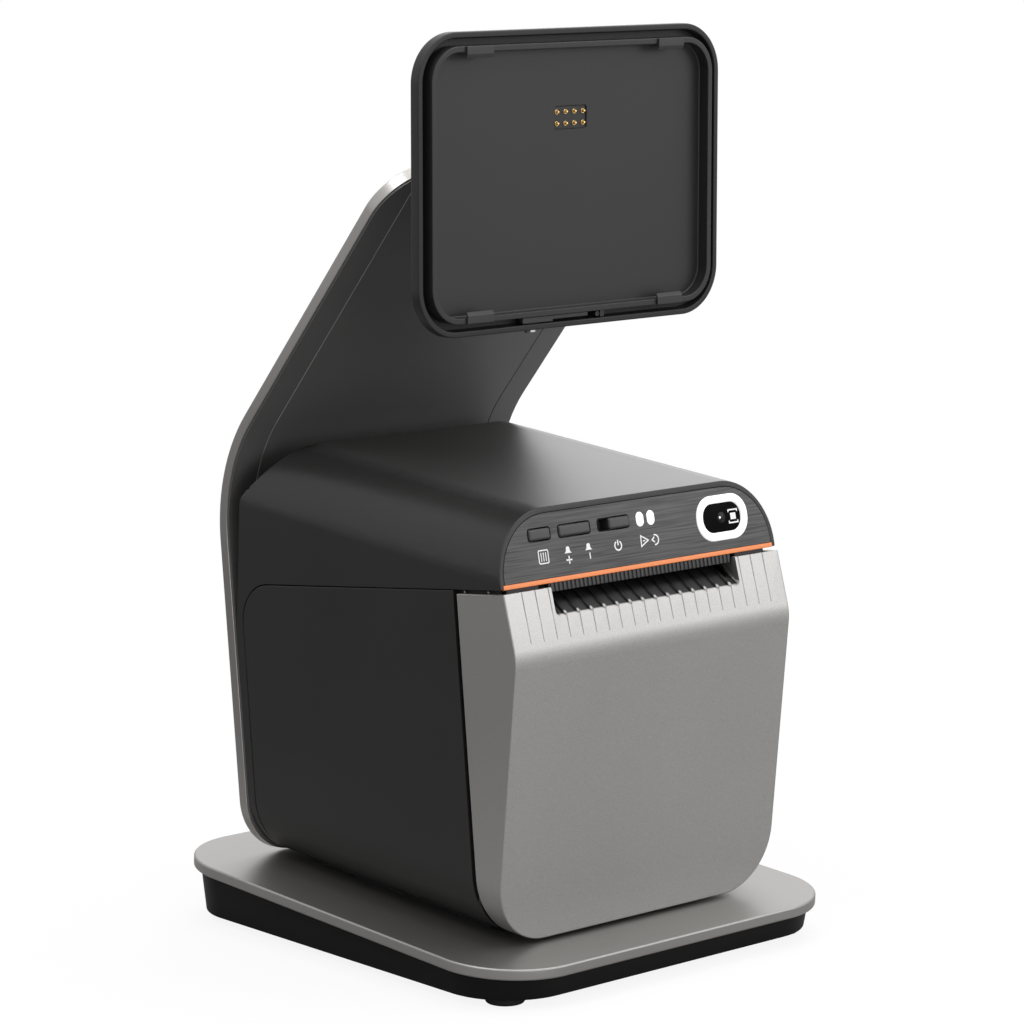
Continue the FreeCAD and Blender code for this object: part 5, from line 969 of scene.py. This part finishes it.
TILT_SCREW_LENGTH = 5.4
TILT_SCREW_X = 29.8
TILT_SCREW_ALONG = 5.0
TILT_SETBACK = 16.334
TILT_SEAT = 3.8
high_turn = turn_x(90 + math.degrees(LEAN_FORWARD))
tilt_screw = socket_screw(*TILT_SCREW, TILT_SCREW_LENGTH)
tilt_screws = []
for along in (-TILT_SCREW_ALONG, TILT_SCREW_ALONG):
    seat_y, seat_z = on_arm(np.array(arm_length - TILT_SETBACK + along), TILT_SEAT)
    tilt_screws += [carried(tilt_screw, DECK @ shift(side * TILT_SCREW_X, seat_y, seat_z) @ high_turn)
                    for side in SIDES]
rebuilt("tilt_screws", together(tilt_screws), SCREW_SHADE_ANGLE)

BASE_SCREW_X = 62.0
BASE_SCREW_Y = 52.0
SKIRT_DEPTH = 16.5
BASE_SCREW_SEAT = 3.0
BASE_SCREW_COVER = 0.8
base_screws = []
for y in (-BASE_SCREW_Y, BASE_SCREW_Y):
    seat = -SKIRT_DEPTH - y * math.tan(math.radians(BASE_TILT)) + BASE_SCREW_SEAT
    base_screw = socket_screw(*BASE_SCREW, -BASE_SCREW_COVER - seat)
    base_screws += [carried(base_screw, DECK @ shift(side * BASE_SCREW_X, y, seat) @ flip)
                    for side in SIDES]
rebuilt("base_screws", together(base_screws), SCREW_SHADE_ANGLE)

# %% [markdown]
# ## The printer's shells
# Three mouldings make the body: a lower housing, an upper cover that wraps over the top, and the silver front
# that opens. Their outer edges get a small radius, because even a crisp edge has one and light finds it.
# Inner ribs and lips only need a hint. The housing's front rims are drawn back a little, so that the seam
# beside the front shows as a dark line.

# %% Body shells
BAND_LOW = 0.1165
BAND_HALF_WIDTH = 0.0625
COVER_FRONT_Y = -0.066
ROOF_TURN = math.radians(80)
SIDE_WALL_X = 0.0625
SEAM_SET_BACK = 1.0
# How far a face's direction has to lean to one side before it counts as facing there.
FRONT_LEAN = -0.85
SIDE_LEAN = 0.5
REAR_LEAN = 0.6
UP_LEAN = 0.3
RIM_LEAN = -0.9


def off_band(edge):
    """Edges away from the slot's band, where ridges and score lines stand closer together than a bevel."""
    middle = (edge.verts[0].co + edge.verts[1].co) / 2
    return middle.z < BAND_LOW or abs(middle.x) > BAND_HALF_WIDTH


def outer_front(edge):
    """Edges between the cover's front and its sides or underside."""
    fronts = [face.normal.y < FRONT_LEAN for face in edge.link_faces]
    sides = [abs(face.normal.x) > SIDE_LEAN or face.normal.z < -SIDE_LEAN for face in edge.link_faces]
    return any(fronts) and any(sides) and edge.verts[0].co.y < COVER_FRONT_Y and off_band(edge)


def roof_rear(edge):
    """The edge where the roof turns down into its sloping rear face."""
    rears = [face.normal.y > REAR_LEAN and face.normal.z > UP_LEAN for face in edge.link_faces]
    return any(rears) and not all(rears) and edge.calc_face_angle() < ROOF_TURN


def open_seam(housing):
    """Moves the faces that end the side walls at the front back by one distance."""
    rims = [face for face in housing.faces
            if face.normal.y < RIM_LEAN and abs(face.calc_center_median().x) > SIDE_WALL_X]
    points = {point for face in rims for point in face.verts}
    bmesh.ops.translate(housing, verts=list(points), vec=(0.0, SEAM_SET_BACK * MM, 0.0))


eased("upper_cover", (0.9, 4, roof_rear), (0.35, 2, anywhere))
eased("lower_housing", (0.25, 2, anywhere), before=open_seam)
eased("front_cover", (0.3, 3, outer_front), (0.2, 1, off_band))
eased_all({"fascia_panel": (0.15, 2), "accent_strip": (0.2, 2), "tear_bar": (0.12, 1),
           "platen_carrier": (0.2, 1), "paper_bin": (0.25, 1), "cover_hinge_lugs": (0.2, 1),
           "mech_frame": (0.15, 1), "heat_sink": (0.3, 2)})

# %% [markdown]
# ## Buttons and status lamps
# The feed button, the volume rocker and the power slide are pads that stand less than a millimetre out of the
# fascia, each with a flange behind it. Their rims are rounded enough to show a light line along the top. The
# lamps are two upright pills with softened rims.

# %% Controls
BUTTON_ROW = 16.7
BUTTON_HALF_HEIGHT = 1.95
BUTTON_CORNER = 0.85
BUTTON_EDGE = 0.8
BUTTON_ROOT = -4.7
BUTTON_STEPS = 8
FLANGE_LIP = 0.9
FLANGE_CORNER = 1.2
FLANGE_LOW = -5.2
FLANGE_TOP = -4.2
FLANGE_EDGE = 0.15


def button(x, half_width, proud):
    """A pad with a soft rim on a wider flange."""
    place = (x, BUTTON_ROW)
    cap = block(half_width, BUTTON_HALF_HEIGHT, BUTTON_CORNER,
                BUTTON_ROOT, proud, BUTTON_EDGE, BUTTON_STEPS, place)
    flange = block(half_width + FLANGE_LIP, BUTTON_HALF_HEIGHT + FLANGE_LIP, FLANGE_CORNER,
                   FLANGE_LOW, FLANGE_TOP, FLANGE_EDGE, BUTTON_STEPS, place)
    return carried(together([cap, flange]), FASCIA)


# Each button's place along the row, its half width, and how far it stands out.
BUTTONS = {
    "feed_button": (-44.9, 4.85, 0.5),
    "volume_rocker": (-28.9, 7.15, 0.5),
    "power_slider": (-8.4, 4.85, 0.8),
}
for button_name, sizes in BUTTONS.items():
    rebuilt(button_name, button(*sizes))

LAMP_HALF = (1.8, 2.55, 1.79)
LAMP_LOW = -5.0
LAMP_TOP = 0.12
LAMP_EDGE = 0.35
LAMP_STEPS = 14
LAMP_X = (1.9, 7.0)
lamps = [block(*LAMP_HALF, LAMP_LOW, LAMP_TOP, LAMP_EDGE, LAMP_STEPS, (x, BUTTON_ROW)) for x in LAMP_X]
rebuilt("led_light_pipes", carried(together(lamps), FASCIA))

# %% [markdown]
# ## The scanner
# A white light ring surrounds a smoked window, and a small lens shows in its middle. The ring is a closed
# section carried round a rounded rectangle, so its rows meet as well as its columns. The lens is a turned
# dome that sits just proud of the window, and a small glowing bead on it is a painted glint: it stands for a
# lamp's highlight on the lens.

# %% Scanner
SCANNER_PLACE = (40.9, 13.0)
RING_HALF = (12.35, 7.95, 7.5)
WINDOW_HALF = (9.3, 5.1, 4.8)
RING_LOW = -3.6
RING_HIGH = 0.4
RING_EDGE = 0.5
RING_STEPS = 24
WINDOW_LOW = -1.8
WINDOW_FACE = -0.3
WINDOW_EDGE = 0.12


def scanner_row(sizes, grow, w):
    """A rounded rectangle round the scanner's middle, larger than its sizes by grow."""
    return rounded_row(*(size + grow for size in sizes), w, RING_STEPS, SCANNER_PLACE)


ring_turn = np.linspace(0, math.pi / 2, 6)
small = RING_EDGE * (1 - np.cos(ring_turn))
large = RING_EDGE * (1 - np.sin(ring_turn))
ring_rows = [scanner_row(RING_HALF, 0.0, RING_LOW)]
ring_rows += [scanner_row(RING_HALF, -inset, RING_HIGH - drop) for inset, drop in zip(small, large)]
ring_rows += [scanner_row(WINDOW_HALF, grow, RING_HIGH - drop) for grow, drop in zip(large, small)]
ring_rows += [scanner_row(WINDOW_HALF, 0.0, RING_LOW)]
rebuilt("scanner_ring", carried(skin_rows(np.array(ring_rows), True), FASCIA))
window = block(*WINDOW_HALF, WINDOW_LOW, WINDOW_FACE, WINDOW_EDGE, RING_STEPS, SCANNER_PLACE)
rebuilt("scanner_window", carried(window, FASCIA))

DOME_TURN = np.linspace(0, math.pi / 2, 7)[:-1]
LENS_RADIUS = 1.4
LENS_LOW = 0.02
LENS_RISE = 0.12
GLINT_RADIUS = 0.42
GLINT_RISE = 0.25
GLINT_ASIDE = -0.85
GLINT_FACE = -0.2


def dome(radius, low, rise):
    """(radius, height) pairs of a cap: a quarter of an ellipse that ends on the axis."""
    return list(zip(radius * np.cos(DOME_TURN), low + rise * np.sin(DOME_TURN))) + [(AXIS_GAP, low + rise)]


lens_profile = [(AXIS_GAP, -0.2), (1.9, -0.2), (1.9, 0.0), (1.75, 0.1), (1.5, 0.1), (1.42, 0.02)]
lens = turned(lens_profile + dome(LENS_RADIUS, LENS_LOW, LENS_RISE), 40)
lens_place = FASCIA @ shift(*SCANNER_PLACE, WINDOW_FACE)
added("scanner_lens", carried(lens, lens_place), LENS_GLASS, "printer")
# Painted glint: a small glowing bead on the lens stands in for a lamp's highlight.
bead = turned([(AXIS_GAP, -0.1)] + dome(GLINT_RADIUS, 0.0, GLINT_RISE), 20)
glint_place = FASCIA @ shift(SCANNER_PLACE[0] + GLINT_ASIDE, SCANNER_PLACE[1], GLINT_FACE)
added("painted_lens_glint", carried(bead, glint_place), FINISHES["light_pipe"], "printer")

# %% [markdown]
# ## Printed signs
# Small white signs under the buttons say what each one does: a paper strip, a bell with plus and minus, the
# power sign, and two status signs. A scanning mark is on the scanner's window. They are screen-printed, so
# each is a ribbon of ink a few hundredths of a millimetre thick. A ribbon is a flat section carried along a
# line: the line's own direction, turned a quarter, gives its two edges.

# %% Printed signs
INK_TOP = 0.03
INK_THICKNESS = 0.08
STROKE = 0.5
SHARPEST_BEND = 0.4


def stroke(line, width=STROKE, closed=False, top=INK_TOP):
    """A flat ribbon along a line of (u, v) points, from just under the surface to the ink's top."""
    line = np.array(line, float)
    before = np.roll(line, 1, axis=0)
    after = np.roll(line, -1, axis=0)
    if not closed:
        before[0] = line[0]
        after[-1] = line[-1]
    first = line - before
    second = after - line
    first_length = np.maximum(np.linalg.norm(first, axis=1, keepdims=True), 1e-9)
    second_length = np.maximum(np.linalg.norm(second, axis=1, keepdims=True), 1e-9)
    along = first / first_length + second / second_length
    along /= np.linalg.norm(along, axis=1, keepdims=True)
    bend = np.maximum(np.abs(np.sum(along * second / second_length, axis=1, keepdims=True)), SHARPEST_BEND)
    bend[(np.linalg.norm(second, axis=1) < 1e-9)] = 1.0
    side = np.column_stack([-along[:, 1], along[:, 0]]) / bend * width / 2
    corners = ((line + side, top), (line - side, top),
               (line - side, top - INK_THICKNESS), (line + side, top - INK_THICKNESS))
    rows = np.stack([np.column_stack([edge, np.full(len(line), w)]) for edge, w in corners], axis=1)
    return skin_rows(rows, closed)


def flat_shape(outline, top=INK_TOP):
    """A filled outline of (u, v) points, as thick as the ink."""
    outline = np.array(outline, float)
    rows = [np.column_stack([outline, np.full(len(outline), w)]) for w in (top - INK_THICKNESS, top)]
    return skin_rows(np.array(rows))


def arc(centre, radius, start, stop, steps=28):
    """Points along part of a circle, from start to stop in degrees."""
    angle = np.radians(np.linspace(start, stop, steps))
    return np.array(centre) + radius * np.column_stack([np.cos(angle), np.sin(angle)])


BELL_HEIGHT = 2.3
BELL_HALF_WIDTH = 0.8
BELL_FLARE = 0.9
CROWN_SHARE = 0.3


def bell(u, v):
    """A bell's outline: a round crown, nearly straight sides, and a sudden flare, the fifth power of the way
    down, over a flat foot."""
    down = np.linspace(0, 1, 24)
    round_top = np.sqrt(np.clip(1 - (1 - down / CROWN_SHARE) ** 2, 0, 1))
    crown = np.where(down < CROWN_SHARE, round_top, 1.0)
    half = crown * BELL_HALF_WIDTH + BELL_FLARE * down ** 5
    height = v + BELL_HEIGHT / 2 - BELL_HEIGHT * down
    right = np.column_stack([u + half, height])
    left = np.column_stack([u - half, height])[::-1]
    return flat_shape(np.concatenate([right, left]))


RECEIPT = np.array([-44.2, 9.05])
POWER = np.array([-9.8, 8.9])
MARK = np.array([46.6, 12.9])
receipt_line = np.array([(0.0, -1.5), (0.0, 1.5)])
signs = [stroke(rounded_loop(2.15, 2.2, 0.5, 5) + RECEIPT, 0.4, True)]
signs += [stroke(receipt_line + RECEIPT + (x, 0.0), 0.34) for x in (-1.05, 0.0, 1.05)]
signs += [bell(-33.0, 10.2), bell(-23.5, 10.2)]
plus = ([(-34.2, 6.75), (-31.5, 6.75)], [(-32.85, 5.4), (-32.85, 8.1)])
minus = [(-23.2, 6.0), (-23.2, 8.05)]
signs += [stroke(line) for line in (*plus, minus)]
signs += [stroke(arc(POWER, 1.55, 122, 418)), stroke(POWER + np.array([(0.0, 0.1), (0.0, 1.95)]))]
signs += [stroke([(1.15, 11.0), (4.45, 9.15), (1.0, 7.3)], 0.42, True)]
signs += [stroke([(1.9, 9.15), (3.0, 9.15)], 0.36)]
signs += [stroke(arc((7.6, 8.95), 1.7, 100, -100)), stroke([(7.4, 9.9), (6.3, 9.05), (7.4, 8.1)])]
added("fascia_signs", carried(together(signs), FASCIA), PRINT_WHITE, "printer")

mark_top = WINDOW_FACE + INK_TOP
mark = [flat_shape(rounded_loop(1.3, 1.15, 0.2, 4) + MARK, mark_top)]
bracket = np.array([(-2.1, 1.5), (-2.1, 2.25), (2.1, 2.25), (2.1, 1.5)])
mark += [stroke(bracket * (1, side) + MARK, STROKE, False, mark_top) for side in SIDES]
added("scanner_mark", carried(together(mark), FASCIA), PRINT_WHITE, "printer")

# %% [markdown]
# ## The tablet cradle
# The cradle is a shallow dish with a rounded back. From behind, its outline grows from a small plateau to the
# full rectangle, runs straight to the rim, rolls over it and drops into a deep narrow groove. All of that is
# one list of rounded rectangles. The tray in the middle is another list. It starts at the pocket for the
# contacts, so the pocket's outline grows into the tray's floor, climbs the inner wall, crosses the lip that
# stands proud of the rim, and drops into the groove.

# %% Cradle
CRADLE_HALF = (70.0, 51.2, 17.0)
CRADLE_BACK = (52.0, 35.0, 12.0)
RIM_WIDTH = 2.1
GROOVE_WIDTH = 2.6
GROOVE_DEPTH = 4.2
RIM_DEPTH = 4.2
BACK_DEPTH = 11.9
OUTER_EDGE = 0.5
INNER_EDGE = 0.3
DISH_STEPS = 30


def dish_row(sizes, inset, w, centre=(0, 0)):
    """A rounded rectangle at height w, smaller than its sizes by an inset."""
    return rounded_row(*(size - inset for size in sizes), w, DISH_STEPS, centre)


def rolled(inner, outer, edge, w, sizes):
    """Rows across a flat ring from its outer to its inner inset, with both of its edges rounded."""
    turn = np.linspace(0, math.pi / 2, 6)
    first = [dish_row(sizes, outer + edge * (1 - math.cos(a)), w - edge * (1 - math.sin(a))) for a in turn]
    last = [dish_row(sizes, inner - edge * (1 - math.sin(a)), w - edge * (1 - math.cos(a))) for a in turn]
    return first + last


shell_rows = [dish_row(CRADLE_BACK, 1.5, -BACK_DEPTH), dish_row(CRADLE_BACK, 0.4, -BACK_DEPTH + 0.25),
              dish_row(CRADLE_HALF, 1.0, -RIM_DEPTH - 0.45), dish_row(CRADLE_HALF, 0.25, -RIM_DEPTH),
              dish_row(CRADLE_HALF, 0.0, -RIM_DEPTH + 0.6)]
shell_rows += rolled(RIM_WIDTH, 0.0, OUTER_EDGE, 0.0, CRADLE_HALF)
shell_rows += [dish_row(CRADLE_HALF, RIM_WIDTH, -GROOVE_DEPTH + 0.3),
               dish_row(CRADLE_HALF, RIM_WIDTH + 0.3, -GROOVE_DEPTH)]
KNUCKLE_RADIUS = 6.0
KNUCKLE_HALF = 19.8
KNUCKLE_EDGE = 0.5
NECK_END = -7.0
tilt = math.radians(BASE_TILT)
axis_v = CRADLE_AHEAD * math.sin(tilt) - CRADLE_RISE * math.cos(tilt)
axis_w = -CRADLE_AHEAD * math.cos(tilt) - CRADLE_RISE * math.sin(tilt)
sideways = np.array([[0, 0, 1], [1, 0, 0], [0, 1, 0]], float)
neck_reach = (NECK_END - (axis_w - KNUCKLE_RADIUS)) / 2
knuckle_points, knuckle_faces = block(KNUCKLE_RADIUS, neck_reach, KNUCKLE_RADIUS - 0.02,
                                      -KNUCKLE_HALF, KNUCKLE_HALF, KNUCKLE_EDGE, 16)
knuckle_points = knuckle_points @ sideways.T + [0, axis_v, axis_w - KNUCKLE_RADIUS + neck_reach]
shell = together([skin_rows(np.array(shell_rows)), (knuckle_points, knuckle_faces)])
rebuilt("cradle_shell", carried(shell, CRADLE), CRADLE_SHADE_ANGLE)

TRAY_HALF = tuple(size - RIM_WIDTH - GROOVE_WIDTH for size in CRADLE_HALF)
LIP_WIDTH = 2.0
LIP_TOP = 1.6
TRAY_FLOOR = -3.0
POCKET = (7.5, 3.9, 0.9)
POCKET_PLACE = (1.4, 20.5)
tray_rows = [dish_row(POCKET, inset, w, POCKET_PLACE)
             for inset, w in ((-0.05, -GROOVE_DEPTH), (-0.05, TRAY_FLOOR - 0.2), (-0.25, TRAY_FLOOR))]
tray_rows += [dish_row(TRAY_HALF, LIP_WIDTH + 0.3, TRAY_FLOOR),
              dish_row(TRAY_HALF, LIP_WIDTH, TRAY_FLOOR + 0.3)]
tray_rows += rolled(LIP_WIDTH, 0.0, INNER_EDGE, LIP_TOP, TRAY_HALF)[::-1]
tray_rows += [dish_row(TRAY_HALF, 0.0, -GROOVE_DEPTH)]
rebuilt("cradle_tray", carried(skin_rows(np.array(tray_rows), True), CRADLE), CRADLE_SHADE_ANGLE)
eased_all({"cradle_clips": (0.2, 2)})

PIN_RADIUS = 0.45
PIN_TOP = -2.3
PIN_LENGTH = 4.6
PIN_DOME = 0.3
PIN_PITCH = 4.07
PIN_ROW_OFFSET = 2.0
CONTACT_FACE = -3.5
pin_turn = np.linspace(0, math.pi / 2, 6)[:-1]
pin_profile = [(AXIS_GAP, PIN_TOP - PIN_LENGTH), (PIN_RADIUS, PIN_TOP - PIN_LENGTH)]
pin_profile += list(zip(PIN_RADIUS * np.cos(pin_turn), PIN_TOP - PIN_DOME * (1 - np.sin(pin_turn))))
pin_profile += [(AXIS_GAP, PIN_TOP)]
collar_profile = [(radius, CONTACT_FACE + rise) for radius, rise in (
    (0.58, -0.1), (0.85, -0.1), (0.85, 0.12), (0.78, 0.2), (0.66, 0.2), (0.58, 0.12))]
pocket_x, pocket_y = POCKET_PLACE
pin_places = [CRADLE @ shift(pocket_x + (column - 1.5) * PIN_PITCH, pocket_y + side * PIN_ROW_OFFSET, 0)
              for column in range(4) for side in SIDES]
rebuilt("pogo_pins", together([carried(turned(pin_profile, 20), place) for place in pin_places]))
collars = [carried(turned(collar_profile, 24, meet=True), place) for place in pin_places]
added("pogo_collars", together(collars), FINISHES["gold"], "cradle")
eased_all({"pogo_block": (0.1, 1), "release_latch": (0.3, 2), "tilt_bracket": (0.4, 2)})

CAP_HALF = (1.05, 0.42, 0.2)
CAP_PLACE = (-17.85, -51.62)
CAP_LOW = -2.2
CAP_HIGH = -0.9
CAP_EDGE = 0.12
latch_body = frame["nodes"]["release_latch"]["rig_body"]
cap = block(*CAP_HALF, CAP_LOW, CAP_HIGH, CAP_EDGE, 6, CAP_PLACE)
added("latch_cap", carried(cap, CRADLE), FINISHES["sink_aluminium"], latch_body)

# %% [markdown]
# ## Sockets at the back
# The base's rear wall has a network socket, a USB socket and a round power inlet. Their mouths are solids
# already. Eight gold springs in the network socket are rounded slivers, repeated at the standard pitch.

# %% Sockets
eased_all({"lan_socket": (0.25, 2), "usb_socket": (0.15, 2), "dc_inlet": (0.25, 2)})
SPRING_HALF = (0.22, 4.5, 0.2)
SPRING_HALF_DEPTH = 0.2
SPRING_EDGE = 0.1
SPRING_STEPS = 4
SPRING_COUNT = 8
SPRING_PITCH = 1.02
SPRING_SETBACK = 6.5
SPRING_RISE = 7.4
SPRING_LEAN = -22
lan_low, lan_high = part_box("lan_socket")
lan_x = (lan_low.x + lan_high.x) / 2 / MM
spring_y = lan_high.y / MM - SPRING_SETBACK
spring_z = lan_low.z / MM + SPRING_RISE
spring = block(*SPRING_HALF, -SPRING_HALF_DEPTH, SPRING_HALF_DEPTH, SPRING_EDGE, SPRING_STEPS)
spring_steps = SPRING_PITCH * (np.arange(SPRING_COUNT) - (SPRING_COUNT - 1) / 2)
springs = [carried(spring, shift(lan_x + step, spring_y, spring_z) @ turn_x(SPRING_LEAN))
           for step in spring_steps]
added("lan_springs", together(springs), FINISHES["gold"], "printer")
